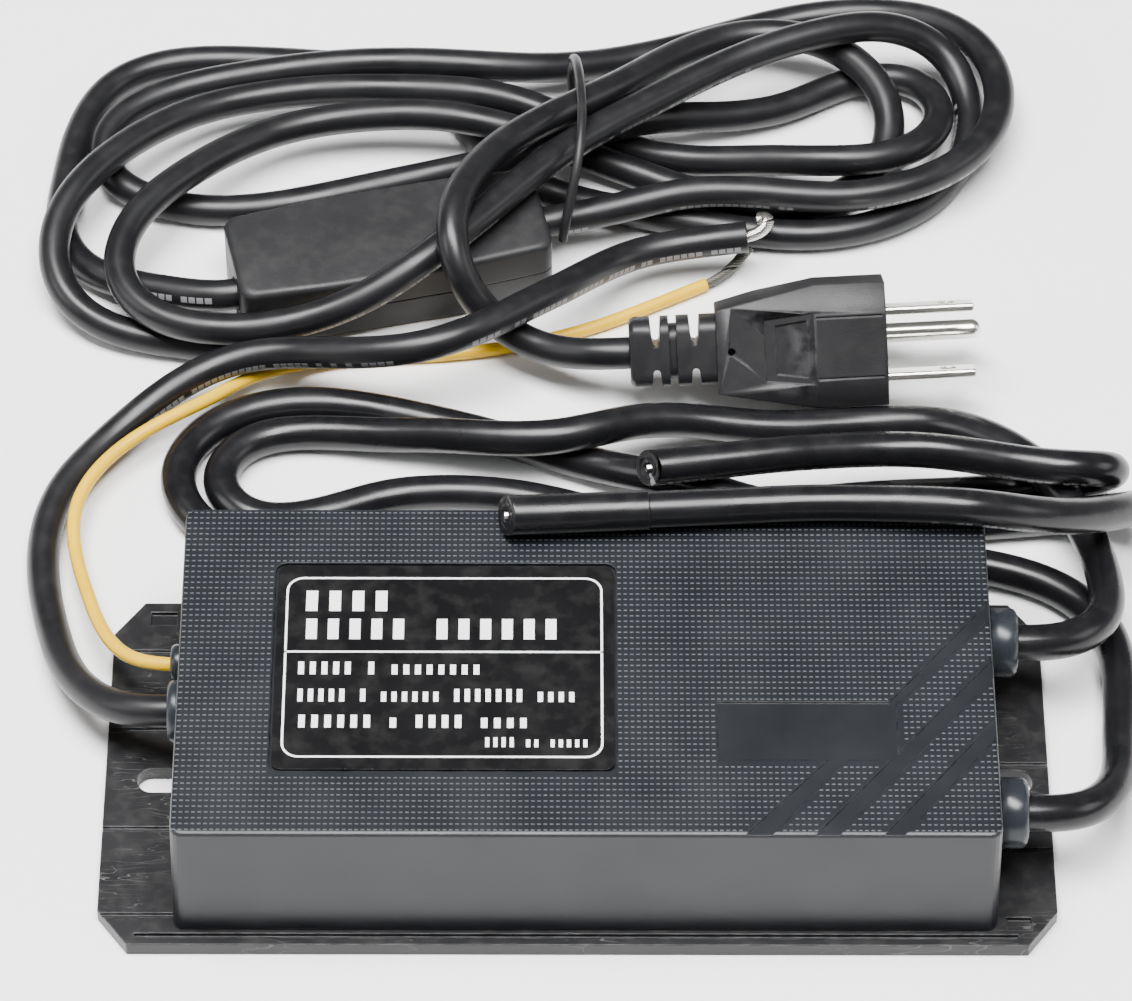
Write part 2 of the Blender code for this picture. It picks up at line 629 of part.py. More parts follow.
def build_ports():
    """The bushings and grommets that hold the leads in the housing's ends."""
    collar = (
        (4.9, 5.2),
        (6.0, 4.9),
        (6.4, 4.3),
        (6.4, 0.0),
        (4.7, 0.0),
        (4.7, -3.4),
        (4.0, -3.4),
        (4.0, 5.2),
    )
    for name, (y, z) in (("hv_bushing_rear", REAR_OUTPUT), ("hv_bushing_front", FRONT_OUTPUT)):
        turned(name, collar, "bushing_plastic", closed=True, at=(75.4, y, z), turn=ALONG_X)
    grommets = (("input_grommet", INPUT_PORT, 3.8, 4.5), ("ground_grommet", GROUND_PORT, 2.0, 2.6))
    for name, (y, z), bore, body in grommets:
        profile = (
            (body, 2.8),
            (body, 0.0),
            (body + 1.2, 0.0),
            (body + 1.2, -1.2),
            (body + 0.6, -1.8),
            (bore, -1.8),
            (bore, 2.8),
        )
        turned(name, profile, "bushing_plastic", closed=True, at=(-72.7, y, z), turn=ALONG_X, steps=20)


def e_outline(length, height, back, leg, centre_leg):
    """Outline of an E core that lies on its back, legs upwards."""
    half = length / 2
    middle = centre_leg / 2
    return [
        (-half, 0),
        (half, 0),
        (half, height),
        (half - leg, height),
        (half - leg, back),
        (middle, back),
        (middle, height),
        (-middle, height),
        (-middle, back),
        (-half + leg, back),
        (-half + leg, height),
        (-half, height),
    ]


def build_transformer():
    """The ferrite core's two halves, the bobbin and its two windings."""
    x, y = TRANSFORMER_CENTRE
    outline = e_outline(CORE_LENGTH, CORE_HALF_HEIGHT, CORE_BACK, CORE_LEG, 2 * CORE_LEG)
    front = y + CORE_DEPTH / 2
    foot = BOARD_TOP + 0.1
    extruded("core_lower", outline, CORE_DEPTH, "ferrite", at=(x, front, foot), turn=FACING_FRONT)
    top = foot + 2 * CORE_HALF_HEIGHT + GAP
    flipped = [(px, -py) for px, py in outline][::-1]
    extruded("core_upper", flipped, CORE_DEPTH, "ferrite", at=(x, front, top), turn=FACING_FRONT)
    low = foot + CORE_BACK + GAP
    high = top - CORE_BACK - GAP
    bobbin = box("coil_bobbin", (x - 7.4, y - 8.4, low), (x + 7.4, y + 8.4, high), "bobbin_plastic")
    for i, level in enumerate((low, high - 1)):
        flange_low = (x - 13.6, y - 15, level)
        flange_high = (x + 13.6, y + 15, level + 1)
        join(bobbin, box(f"flange_{i}", flange_low, flange_high, "bobbin_plastic"))
    bore_low = (x - 6.4, y - 7.4, low - 2)
    bore_high = (x + 6.4, y + 7.4, high + 2)
    cut(bobbin, box("bobbin_bore", bore_low, bore_high, "bobbin_plastic"))
    half_height = (high - low - 2 - 3 * GAP) / 2
    levels = (low + 1 + GAP, low + 1 + 2 * GAP + half_height)
    for name, level in zip(("primary_winding", "secondary_winding"), levels):
        outer = rounded_rectangle((x, y), (26.4, 28.8), 5, 4)
        coil = extruded(name, outer, half_height, "winding_copper", at=(0, 0, level))
        hole_low = (x - 7.8, y - 8.8, level - 1)
        hole_high = (x + 7.8, y + 8.8, level + half_height + 1)
        cut(coil, box(name + "_bore", hole_low, hole_high, "winding_copper"))


def comb_outline(length, spine, depth, fins, fin):
    """Outline of a finned strip: a straight spine with fins on its +Y side."""
    points = [(0, 0), (length, 0)]
    pitch = (length - fin) / (fins - 1)
    for i in range(fins - 1, -1, -1):
        start = i * pitch
        points += [(start + fin, depth), (start, depth)]
        if i:
            points += [(start, spine), (start - pitch + fin, spine)]
    return points


def build_heat_sink():
    """The finned strip and the two power transistors in front of it."""
    outline = comb_outline(50, 2, 11, 9, 1.4)
    extruded("heat_sink", outline, 17.6, "fin_aluminium", at=(-30, 20, BOARD_TOP))
    for i, x in enumerate((-20, 0)):
        low = (x, 15.2, BOARD_TOP + 3)
        high = (x + 10, 19.7, BOARD_TOP + 18)
        body = box(f"transistor_{i + 1}", low, high, "component_epoxy")
        for leg in range(3):
            leg_x = x + 2 + 2.54 * leg
            leg_low = (leg_x, 17, BOARD_TOP)
            leg_high = (leg_x + 0.9, 17.6, BOARD_TOP + 4)
            join(body, box(f"transistor_{i}_leg_{leg}", leg_low, leg_high, "tinned_wire"))


def build_board():
    """The circuit board, its standoffs and screws, and the small components on it."""
    centre = [(low + high) / 2 for low, high in zip(BOARD_LOW, BOARD_HIGH)]
    size = [high - low for low, high in zip(BOARD_LOW, BOARD_HIGH)]
    outline = rounded_rectangle(centre, size, 2, 2)
    board = extruded("circuit_board", outline, BOARD_THICK, "board_laminate", at=(0, 0, BOARD_FOOT))
    spacer = (
        (STANDOFF_RADIUS, STANDOFF_HEIGHT),
        (STANDOFF_RADIUS, 0),
        (STANDOFF_BORE, 0),
        (STANDOFF_BORE, STANDOFF_HEIGHT),
    )
    for i, (x, y) in enumerate(BOARD_SCREWS):
        foot = (x, y, PLATE_THICK + GAP)
        turned(f"board_standoff_{i + 1}", spacer, "contact_brass", closed=True, steps=16, at=foot)
        cut(board, rod(f"board_hole_{i}", (x, y, 6), STANDOFF_BORE, 6, "board_laminate", sides=16))
        screw(f"board_screw_{i + 1}", (x, y, BOARD_TOP), (2.8, 1.8), (1.3, 5.6), "screw_steel")
    can = ((0, 17), (6.2, 17), (7, 16.2), (7, 14), (6.4, 13.4), (7, 12.8), (7, 0), (0, 0))
    for i, y in enumerate((-4, -20)):
        turned(f"filter_capacitor_{i + 1}", can, "capacitor_sleeve", at=(-38, y, BOARD_TOP))
    film = box("film_capacitor", (-26, -26, BOARD_TOP), (-8, -19, BOARD_TOP + 12), "film_epoxy")
    soften(film, 1.2)
    bridge = ((0, 0), (15, 0), (15, 10.5), (12.5, 13), (0, 13))
    extruded(
        "bridge_rectifier", bridge, 4.6, "component_epoxy", at=(-26, -3.4, BOARD_TOP), turn=FACING_FRONT
    )
    spool = ((0, 16), (7.5, 16), (7.5, 14), (3, 14), (3, 2), (7.5, 2), (7.5, 0), (0, 0))
    turned("choke_core", spool, "ferrite", at=(0, -8, BOARD_TOP))
    wound = ((7, 13.7), (7, 2.3), (3.3, 2.3), (3.3, 13.7))
    turned("choke_winding", wound, "winding_copper", closed=True, at=(0, -8, BOARD_TOP))
    stud = ((0, 10), (1.2, 10), (1.6, 9.4), (1.6, 3), (3, 3), (3, 0), (0, 0))
    for i, (y, _) in enumerate((REAR_OUTPUT, FRONT_OUTPUT)):
        turned(f"hv_terminal_{i + 1}", stud, "contact_brass", at=(57, y, BOARD_TOP), steps=16)
    block_low = (-58, 2, BOARD_TOP)
    block_high = (-48, 18, BOARD_TOP + 12)
    block = box("input_terminal_block", block_low, block_high, "terminal_green")
    for i, y in enumerate((6, 14)):
        mouth = (-60, y, BOARD_TOP + 5.5)
        cut(block, rod(f"terminal_mouth_{i}", mouth, 1.7, 9, "terminal_green", 16, turn=ALONG_X))


def build_fuse():
    """The glass fuse in its two clips."""
    tube_profile = ((0, 20), (2.6, 20), (2.6, 15), (2.3, 14.6), (2.3, 5.4), (2.6, 5), (2.6, 0), (0, 0))
    foot = (-55, 27, BOARD_TOP + 4.4)
    turned("fuse", tube_profile, "fuse_glass", at=foot, turn=ALONG_X, steps=16)
    clip = [(-4, 0), (4, 0), (4, 8), (3.2, 8), (3.2, 0.9), (-3.2, 0.9), (-3.2, 8), (-4, 8)]
    for i, x in enumerate((-54.5, -40.5)):
        spot = (x, 27, BOARD_TOP)
        extruded(f"fuse_clip_{i + 1}", clip, 4.5, "contact_brass", at=spot, turn=(90, 0, 90))


def bare_core(name, points):
    """The bare end of a cable's core, and the cutter for the bore it shows in."""
    _, bored = split_route(points, CORE_SHOW)
    beyond = points[-1] + (points[-1] - points[-2]).normalized() * 3
    bored[-1] = beyond
    bore = tube_mesh(f"core_bore_{name}", thinned(bored), CORE_RADIUS + GAP, "cable_jacket")
    _, bare = split_route(points, CORE_SHOW - GAP)
    bare[-1] = bare[-1] + (bare[-1] - bare[-2]).normalized() * CORE_PROUD
    tube(f"hv_core_{name}", thinned(bare), CORE_RADIUS, "tinned_wire")
    return bore


def build_high_voltage_cables():
    """The two cables with their bare cores; a sleeve covers the front one's end."""
    rear = smooth_route(REAR_CABLE)
    cable = tube_mesh("hv_cable_rear", thinned(rear), CABLE_RADIUS, "cable_jacket")
    cut(cable, bare_core("rear", rear))
    front = smooth_route(FRONT_CABLE)
    covered, _ = split_route(front, SLEEVE_LENGTH + 2 * GAP)
    tube("hv_cable_front", thinned(covered), CABLE_RADIUS, "cable_jacket")
    _, end = split_route(front, SLEEVE_LENGTH)
    sleeve = tube_mesh("hv_sleeve_front", thinned(end), SLEEVE_RADIUS, "cable_jacket")
    cut(sleeve, bare_core("front", front))


def build_leads():
    """The input lead and the ground wire with their bare ends, and the output cables."""
    lead = smooth_route(INPUT_LEAD)
    tube("input_cord", thinned(lead), CORD_RADIUS, "cable_jacket")
    out = (lead[-1] - lead[-2]).normalized()
    stub = [lead[-1] + out * GAP, lead[-1] + out * 2.5, lead[-1] + out * 4.6]
    tube("input_cord_conductor", stub, 1.5, "tinned_wire")
    tube("ground_wire", thinned(smooth_route(GROUND_WIRE)), GROUND_RADIUS, "ground_jacket")
    tube("ground_wire_strands", thinned(smooth_route(GROUND_STRANDS)), 0.95, "tinned_wire")
    build_high_voltage_cables()


def build_power_cord():
    """The power cord's two stretches, either side of the switch, and its tie."""
    plug_side = smooth_route(POWER_CORD_PLUG_SIDE)
    supply_side = smooth_route(POWER_CORD_SUPPLY_SIDE)
    tube("power_cord_plug_side", thinned(plug_side), CORD_RADIUS, "cable_jacket")
    tube("power_cord_supply_side", thinned(supply_side), CORD_RADIUS, "cable_jacket")
    out = (supply_side[-1] - supply_side[-2]).normalized()
    stub = [supply_side[-1] + out * GAP, supply_side[-1] + out * 1.6, supply_side[-1] + out * 2.9]
    tube("power_cord_conductor", stub, 1.2, "tinned_wire")
    tube("cord_tie", thinned(smooth_route(TIE_ROUTE), sag=0.08), TIE_RADIUS, "moulded_black")
    return plug_side, supply_side


def switch_outline(inset):
    """Plan of the switch, a little wider in its middle, shrunk by the inset."""
    end = SWITCH_HALF - inset
    side = SWITCH_END_HALF - inset
    belly = SWITCH_MIDDLE_HALF - inset
    corner = 3.0
    quarter = [
        (end, side - corner),
        (end - 0.9, side - 0.9),
        (end - corner, side),
        (end * 0.45, belly - 0.1),
        (0, belly),
    ]
    right_rear = quarter
    left_rear = [(-x, y) for x, y in quarter[-2::-1]]
    front = [(-x, -y) for x, y in right_rear + left_rear]
    return right_rear + left_rear + front


def switch_shell(name, foot, top, floor_side, frame):
    """One hollow half of the switch, its floor at the foot (-1) or at the top (1)."""
    plastic = "moulded_black"
    shell = extruded(name, switch_outline(0), top - foot, plastic, at=(0, 0, foot), parent=frame)
    low = foot - 1 if floor_side > 0 else foot + SWITCH_WALL
    high = top - SWITCH_WALL if floor_side > 0 else top + 1
    inside = switch_outline(SWITCH_WALL)
    return cut(shell, extruded(name + "_hollow", inside, high - low, plastic, at=(0, 0, low), parent=frame))


def build_switch(plug_side, supply_side):
    """The in-line switch: two shells, rocker, contacts and screw, on its own frame."""
    frame = bpy.data.objects.new("switch_frame", None)
    PARTS.objects.link(frame)
    frame.location = Vector(SWITCH_CENTRE) * MM
    frame.rotation_euler.z = radians(SWITCH_TURN)
    front = switch_shell("switch_front_shell", SWITCH_FOOT, SWITCH_SEAM - GAP / 2, -1, frame)
    back = switch_shell("switch_back_shell", SWITCH_SEAM + GAP / 2, SWITCH_TOP, 1, frame)
    plastic = "moulded_black"
    seam_low = SWITCH_SEAM - GAP / 2
    x_half, y_half = WELL_HALF
    for side, sign in (("front", -1), ("rear", 1)):
        inner = sign * y_half
        outer = sign * (y_half + 1.6)
        low = (-x_half - 1, min(inner, outer), SWITCH_FOOT + 1)
        high = (x_half + 1, max(inner, outer), seam_low)
        join(front, box(f"well_wall_{side}", low, high, plastic, parent=frame))
    window_low = (-x_half, -y_half, -1)
    window_high = (x_half, y_half, SWITCH_FOOT + SWITCH_WALL + 1)
    cut(front, box("rocker_window", window_low, window_high, plastic, parent=frame))
    slot_low = (-1.5, -y_half - 3, ROCKER_AXIS_Z - 1.5)
    slot_high = (1.5, y_half + 3, seam_low + 1)
    cut(front, box("pivot_slot", slot_low, slot_high, plastic, parent=frame))
    boss = rod("front_boss", (SWITCH_SCREW_X, 0, 1), 3.0, seam_low - 1, plastic, parent=frame)
    bore = rod("front_boss_bore", (SWITCH_SCREW_X, 0, 3), 1.5, 8, plastic, sides=16, parent=frame)
    cut(join(front, boss), bore)
    back_foot = SWITCH_SEAM + GAP / 2
    sleeve = rod("back_boss", (SWITCH_SCREW_X, 0, back_foot), 4.6, 6.5, plastic, parent=frame)
    seat = rod("screw_recess", (SWITCH_SCREW_X, 0, 13.0), 3.3, 5, plastic, parent=frame)
    hole = rod("screw_bore", (SWITCH_SCREW_X, 0, 6), 1.6, 10, plastic, sides=16, parent=frame)
    cut(join(back, sleeve), seat, hole)
    mouths = (("plug_side", plug_side[-120:]), ("supply_side", supply_side[:120]))
    for shell_name, shell in (("front", front), ("back", back)):
        for end_name, points in mouths:
            label = f"{shell_name}_mouth_{end_name}"
            cut(shell, tube_mesh(label, thinned(points), CORD_RADIUS + 0.45, plastic))
    seat = (SWITCH_SCREW_X, 0, 13.3)
    screw("switch_screw", seat, (2.9, 1.5), (1.2, 9.6), "screw_steel", parent=frame)
    strip = [(0, 0), (9, 0), (9, 0.8), (0.8, 0.8), (0.8, 4.2), (0, 4.2)]
    level = SWITCH_FOOT + SWITCH_WALL + GAP
    for i, y in enumerate((-2.2, 6.6)):
        name = f"switch_contact_{i + 1}"
        spot = (-20, y, level)
        extruded(name, strip, 4.4, "contact_brass", at=spot, turn=FACING_FRONT, parent=frame)
    build_rocker(frame)


def build_rocker(frame):
    """The rocker, on its own pivot axis, tipped to its first position."""
    outline = [(-6.6, -4.1), (0, -2.7), (6.6, -4.1), (6.6, -1.4), (1.6, 0.9), (-1.6, 0.9), (-6.6, -1.4)]
    plastic = "moulded_black"
    half = WELL_HALF[1] - 0.4
    axis = (0, 0, ROCKER_AXIS_Z)
    rocker = extruded("switch_rocker", outline, 2 * half, plastic, at=axis, parent=frame)
    rocker.data.transform(Matrix.Translation((0, 0, -half * MM)))
    rocker.data.transform(Matrix.Rotation(radians(90), 4, "X"))
    rocker.data.transform(Matrix.Rotation(radians(-ROCKER_TILT), 4, "Y"))
    foot = (0, -half - 1.3, ROCKER_AXIS_Z)
    pin = rod("rocker_pin", foot, 1.1, 2 * half + 2.6, plastic, sides=16, turn=ALONG_Y, parent=frame)
    return join(rocker, pin)


def build_plug():
    """The moulded plug: body, strain relief, two blades and the ground pin."""
    frame = bpy.data.objects.new("plug_frame", None)
    PARTS.objects.link(frame)
    frame.location = Vector(PLUG_FACE) * MM
    frame.rotation_euler = [radians(angle) for angle in PLUG_TURN]
    plastic = "moulded_black"

    half = PLUG_WIDTH / 2
    neck = PLUG_NECK_WIDTH / 2
    flat = PLUG_FLAT_WIDTH / 2
    bottom, low, high, top = PLUG_LEVELS
    neck_bottom, neck_top = PLUG_NECK_LEVELS
    plan = [
        (0, -half),
        (0, half),
        (-PLUG_SHOULDER, half),
        (-PLUG_LENGTH, neck),
        (-PLUG_LENGTH, -neck),
        (-PLUG_SHOULDER, -half),
    ][::-1]
    side = [
        (0, bottom),
        (0, top),
        (-PLUG_SHOULDER, top),
        (-PLUG_LENGTH, neck_top),
        (-PLUG_LENGTH, neck_bottom),
        (-PLUG_SHOULDER, bottom),
    ][::-1]
    section = [
        (-flat, bottom),
        (flat, bottom),
        (half, low),
        (half, high),
        (flat, top),
        (-flat, top),
        (-half, high),
        (-half, low),
    ]
    body = extruded("plug_body", plan, 40, plastic, at=(0, 0, -25), parent=frame)
    views = [
        extruded("plug_side_view", side, 40, plastic, at=(0, 20, 0), turn=FACING_FRONT, parent=frame),
        extruded("plug_section", section, 50, plastic, at=(-40, 0, 0), turn=(90, 0, 90), parent=frame),
    ]
    combine(body, views, "INTERSECT")
    soften(body, 0.9, 2)
    blade_length, blade_thick, blade_wide = BLADE_SIZE
    for name, sign in (("blade_line", 1), ("blade_neutral", -1)):
        y = sign * BLADE_SPACING / 2
        low = Vector((-BLADE_ROOT, y - blade_thick / 2, -blade_wide / 2))
        high = Vector((blade_length, y + blade_thick / 2, blade_wide / 2))
        margin = Vector((GAP, GAP, GAP))
        cut(body, box(name + "_pocket", low - margin, high + margin, plastic, parent=frame))
        blade = box(name, low, high, "blade_nickel", parent=frame)
        soften(blade, 0.3, 1)
        foot = (BLADE_HOLE_X, y - 4, 0)
        hole = rod(name + "_hole", foot, BLADE_HOLE_RADIUS, 8, "blade_nickel", 16, turn=ALONG_Y, parent=frame)
        cut(blade, hole)
    pin_profile = (
        (0, PIN_LENGTH),
        (PIN_RADIUS * 0.5, PIN_LENGTH - 0.3),
        (PIN_RADIUS * 0.87, PIN_LENGTH - 1.1),
        (PIN_RADIUS, PIN_LENGTH - 2.2),
        (PIN_RADIUS, -BLADE_ROOT),
        (0, -BLADE_ROOT),
    )
    root = (0, 0, PIN_LEVEL)
    turned("ground_pin", pin_profile, "blade_nickel", steps=20, at=root, turn=ALONG_X, parent=frame)
    pocket_foot = (-BLADE_ROOT - GAP, 0, PIN_LEVEL)
    cut(body, rod("pin_pocket", pocket_foot, PIN_RADIUS + GAP, 12, plastic, turn=ALONG_X, parent=frame))
    build_strain_relief(frame)


def build_strain_relief(frame):
    """The slotted sleeve between the cord and the plug body."""
    start = RELIEF_START
    end = -PLUG_LENGTH - GAP
    width, height = RELIEF_SECTION
    plastic = "moulded_black"
    low = (start, -width / 2, RELIEF_LEVEL - height / 2)
    high = (end, width / 2, RELIEF_LEVEL + height / 2)
    relief = soften(box("plug_strain_relief", low, high, plastic, parent=frame), 2.4, 3)
    middle = (start + end) / 2
    for i, x in enumerate((start + 4.4, end - 4.4)):
        for sign in (-1, 1):
            reach = sign * (width / 2 + 2)
            slot_low = (x - 0.95, min(sign * 2.4, reach), RELIEF_LEVEL - height)
            slot_high = (x + 0.95, max(sign * 2.4, reach), RELIEF_LEVEL + height)
            cut(relief, box(f"relief_slot_{i}_{sign}", slot_low, slot_high, plastic, parent=frame))
    foot = (middle - 0.7, 0, RELIEF_LEVEL)
    groove = rod("relief_groove", foot, 11, 1.4, plastic, turn=ALONG_X, parent=frame)
    core = box(
        "relief_core",
        (middle - 2, -width / 2 + 1.2, RELIEF_LEVEL - height / 2 + 1.2),
        (middle + 2, width / 2 - 1.2, RELIEF_LEVEL + height / 2 - 1.2),
        plastic,
        parent=frame,
    )
    return cut(relief, cut(groove, core))


def main():
    """Build the whole assembly."""
    clear_scene()
    build_base_plate()
    build_housing()
    build_label()
    build_ports()
    build_board()
    build_transformer()
    build_heat_sink()
    build_fuse()
    build_leads()
    plug_side, supply_side = build_power_cord()
    build_switch(plug_side, supply_side)
    build_plug()


main()
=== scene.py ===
"""Looks of an electronic high-voltage power supply for a gas-filled sign tube.

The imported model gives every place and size. This script puts the finished surfaces on it:
a ribbed plastic housing on a scuffed black plate, its printed label, the output cables,
the input lead and ground wire, and the tied power cord with its rocker switch and plug.

Sizes are in millimetres unless a name says otherwise; MM turns them into metres.
"""

import json
import logging
from collections.abc import Sequence
from dataclasses import dataclass, field
from enum import Enum
from math import cos, pi, radians, sin
from typing import Any

import bmesh
import bpy
from mathutils import Euler, Matrix, Vector

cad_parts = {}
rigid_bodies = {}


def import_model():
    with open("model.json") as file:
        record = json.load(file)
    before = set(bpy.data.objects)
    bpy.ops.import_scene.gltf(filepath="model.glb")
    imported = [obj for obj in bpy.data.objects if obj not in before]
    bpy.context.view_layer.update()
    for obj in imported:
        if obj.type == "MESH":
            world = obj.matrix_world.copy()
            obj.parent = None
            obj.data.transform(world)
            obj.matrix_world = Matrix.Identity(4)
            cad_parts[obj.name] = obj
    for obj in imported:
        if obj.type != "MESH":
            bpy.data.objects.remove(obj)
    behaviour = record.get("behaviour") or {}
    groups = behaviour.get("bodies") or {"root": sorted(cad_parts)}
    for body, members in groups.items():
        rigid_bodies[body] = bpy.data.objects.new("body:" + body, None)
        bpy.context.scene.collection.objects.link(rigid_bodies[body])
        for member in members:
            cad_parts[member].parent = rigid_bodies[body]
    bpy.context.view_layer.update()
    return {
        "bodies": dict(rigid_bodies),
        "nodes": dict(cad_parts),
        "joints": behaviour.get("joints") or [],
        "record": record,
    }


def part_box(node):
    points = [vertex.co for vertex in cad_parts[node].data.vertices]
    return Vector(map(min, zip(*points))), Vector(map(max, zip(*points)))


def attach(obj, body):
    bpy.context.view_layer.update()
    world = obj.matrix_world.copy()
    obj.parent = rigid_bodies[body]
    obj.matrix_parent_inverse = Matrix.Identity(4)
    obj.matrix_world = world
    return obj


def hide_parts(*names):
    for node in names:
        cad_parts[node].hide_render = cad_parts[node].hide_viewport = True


LOG = logging.getLogger("power_supply")

MM = 0.001
SUPPLY = "supply"

Colour = tuple[float, float, float]
Place = tuple[float, float, float]
Plan = tuple[float, float]

# Angles in degrees past which an edge stays sharp
TURNED_CREASE = 40.0
MOULDED_CREASE = 35.0

# Routes of the leads, in millimetres: the points that their smooth curves follow
POWER_CORD_PLUG_SIDE = (
    (10.3, 94, 12.2), (4, 93.8, 11.9), (-5.5, 97.4, 8.4), (-15.5, 103.6, 8.8), (-23, 106, 20.4),
    (-25, 116, 26.6), (-21, 130.5, 24), (-13.5, 142.5, 21), (-3, 152, 18.8), (8, 160.5, 16.6),
    (17, 171, 13.2), (27, 180.5, 9.8), (41, 184, 9.4), (54.5, 178, 10.2), (63.5, 166.5, 8.4),
    (63, 153.5, 3.8), (53.5, 143, 3.2), (39.5, 139.5, 3.2), (26, 142.5, 3.8), (13, 148, 4.4),
    (0.5, 153.5, 5.2), (-12.5, 157, 8.8), (-26.5, 158.5, 11.2), (-40.5, 159.5, 9.8),
    (-55.5, 158, 8.8), (-67.5, 151, 10), (-77.5, 140.5, 12.6), (-87.5, 129.5, 12.8),
    (-91, 115, 10.6), (-81.5, 103.5, 9.8), (-66.5, 101, 10), (-52.5, 102.4, 11.4),
    (-39.5, 105.4, 15.6), (-27.5, 112.4, 20.6), (-17.5, 124.5, 19.4), (-8.5, 135.5, 19),
    (1, 146, 17.6), (12, 154.5, 17), (23.5, 163, 16.6), (35.5, 170.5, 16.6), (48.5, 175.5, 17.2),
    (62.5, 180.5, 15.4), (75, 180, 8.8), (80.5, 167.5, 4), (78, 152.5, 3.2), (69.5, 140.5, 3.2),
    (56.5, 134, 3.2), (42.5, 132.5, 3.2), (28.5, 135, 3.2), (14.5, 138.5, 3.2),
    (0.5, 141.5, 3.2), (-12.5, 148, 3.2), (-20, 160, 3.2), (-27, 172, 3.2), (-39.5, 178.5, 3.2),
    (-53.5, 180, 3.2), (-67.5, 181, 3.2), (-82, 181, 3.2), (-94.5, 175, 3.2), (-100, 161.5, 3.2),
    (-101.5, 147.5, 3.2), (-103, 132.5, 3.2), (-95.5, 121, 3.6), (-81.5, 116, 5.4),
    (-68.5, 111.5, 8), (-61.6, 114.7, 8),
)
POWER_CORD_SUPPLY_SIDE = (
    (-11.8, 130.3, 8), (-6.5, 132, 8), (8, 135, 8.4), (22, 138.5, 10.6), (37, 138, 10.4),
    (51.5, 136.5, 9.8), (66.5, 139.5, 10), (79, 148, 9.6), (86, 161.5, 9), (84.5, 177, 9.4),
    (75, 188, 8.2), (61.5, 194, 4.6), (47, 194, 3.2), (32.5, 189, 3.2), (19, 183.5, 3.2),
    (5.5, 178.5, 4.6), (-8.5, 174, 8), (-23, 173.5, 10), (-37.5, 174.5, 9.6), (-52, 174.5, 8.4),
    (-66.5, 173, 7), (-81, 170, 6.4), (-94.5, 161, 6.4), (-95, 147, 4), (-80.5, 139.5, 3.2),
    (-65.5, 139, 3.2), (-51.5, 142, 3.6), (-37, 146, 4), (-23, 148, 6), (-9, 147, 11.4),
    (4, 153, 12.8), (16.5, 160.5, 8.6), (30, 163.5, 4.8), (43.5, 167.5, 3.2), (56, 177, 3.2),
    (70.5, 176, 3.8), (75, 160, 7.2), (65, 147.5, 10.2), (50, 146.5, 10.2), (36.5, 150.5, 6.6),
    (22.5, 152, 3.8), (8.5, 156.5, 3.2), (-4, 163.5, 6), (-17.5, 166, 9.8), (-32.5, 166.5, 9.8),
    (-47, 168, 8.6), (-62, 167, 7.8), (-76, 162.5, 8.4), (-87, 153, 10.6), (-97, 141.5, 11.6),
    (-103.5, 128.5, 10), (-101.5, 113.5, 6.6), (-90, 106, 3.4), (-75, 104, 3.2),
    (-60.5, 101.5, 3.2),
)
INPUT_LEAD = (
    (-60, 3.5, 16), (-71, 3.5, 16), (-82.5, 4.5, 14.4), (-90, 12, 10), (-95, 21.5, 6),
    (-98, 32.5, 4), (-100.5, 44, 3.2), (-101, 55.5, 3.2), (-98.5, 67, 3.2), (-92, 76.5, 3.2),
    (-84, 84.5, 5.2), (-75, 91, 8.2), (-64, 96, 9.4), (-52.5, 95, 11.2), (-41.5, 91, 15.2),
    (-29.5, 90, 17.8), (-18.5, 95, 18), (-10, 102.5, 16.2), (-2, 110, 13.6), (4.5, 118, 10),
    (12.5, 124.5, 7.8), (23, 126, 8.6), (33.5, 126.5, 9.8),
)
GROUND_WIRE = (
    (-60, 15, 15), (-71, 15, 15), (-82.5, 16.5, 13.4), (-88.5, 27.5, 9.8), (-91.5, 38.5, 6.8),
    (-95, 50, 6), (-95.5, 62, 5.8), (-90, 73, 5.6), (-80.5, 80, 7.4), (-70.5, 86, 7.4),
    (-63.5, 94.5, 4.4), (-53.5, 100, 2.4), (-41.5, 102, 1.6), (-30, 102.5, 1.3),
    (-18, 104, 1.3), (-6.5, 106.5, 1.3), (4.5, 110.5, 1.3), (15, 116, 1.3), (25.5, 121.5, 1.4),
)
GROUND_STRANDS = (
    (25.4, 121.45, 1.4), (27.6, 122.6, 1.7), (30.0, 124.3, 2.4), (32.2, 126.3, 3.4),
    (34.0, 128.6, 4.6),
)
REAR_CABLE = (
    (66, 19, 17), (78, 19, 17), (90.5, 19.5, 16), (99, 28.5, 12.6), (98.5, 41.5, 10.6),
    (95, 53.5, 10.8), (89, 65, 11.6), (80, 74, 10.4), (70.5, 81.5, 6.4), (58.5, 83.5, 4),
    (46, 81.5, 4.8), (34, 80.5, 5.6), (21.5, 81.5, 7.4), (9.5, 78.5, 10.2), (-2, 73, 11.6),
    (-14, 73.5, 10.4), (-26, 77, 7.8), (-37.5, 79, 5), (-49.5, 81.5, 3.4), (-63, 80.5, 3.4),
    (-70.5, 69, 3.4), (-62, 58, 3.4), (-48.5, 60, 3.4), (-37, 65.5, 3.4), (-24.5, 66.5, 3.4),
    (-11.5, 65.5, 3.4), (0.5, 62, 3.4), (13, 57.5, 3.4), (25.5, 58.5, 3.4), (38, 62.5, 3.4),
    (50.5, 64.5, 3.4), (63.5, 65.5, 3.4), (76, 66, 3.4), (89, 68, 3.4), (102.5, 67.5, 8.2),
    (101, 60.5, 17.6), (87, 59.5, 19), (75.5, 65.5, 15.4), (63.5, 69, 13.4), (51, 67.5, 14.6),
    (39, 64.5, 17), (26, 62, 17.6), (13.5, 60, 18),
)
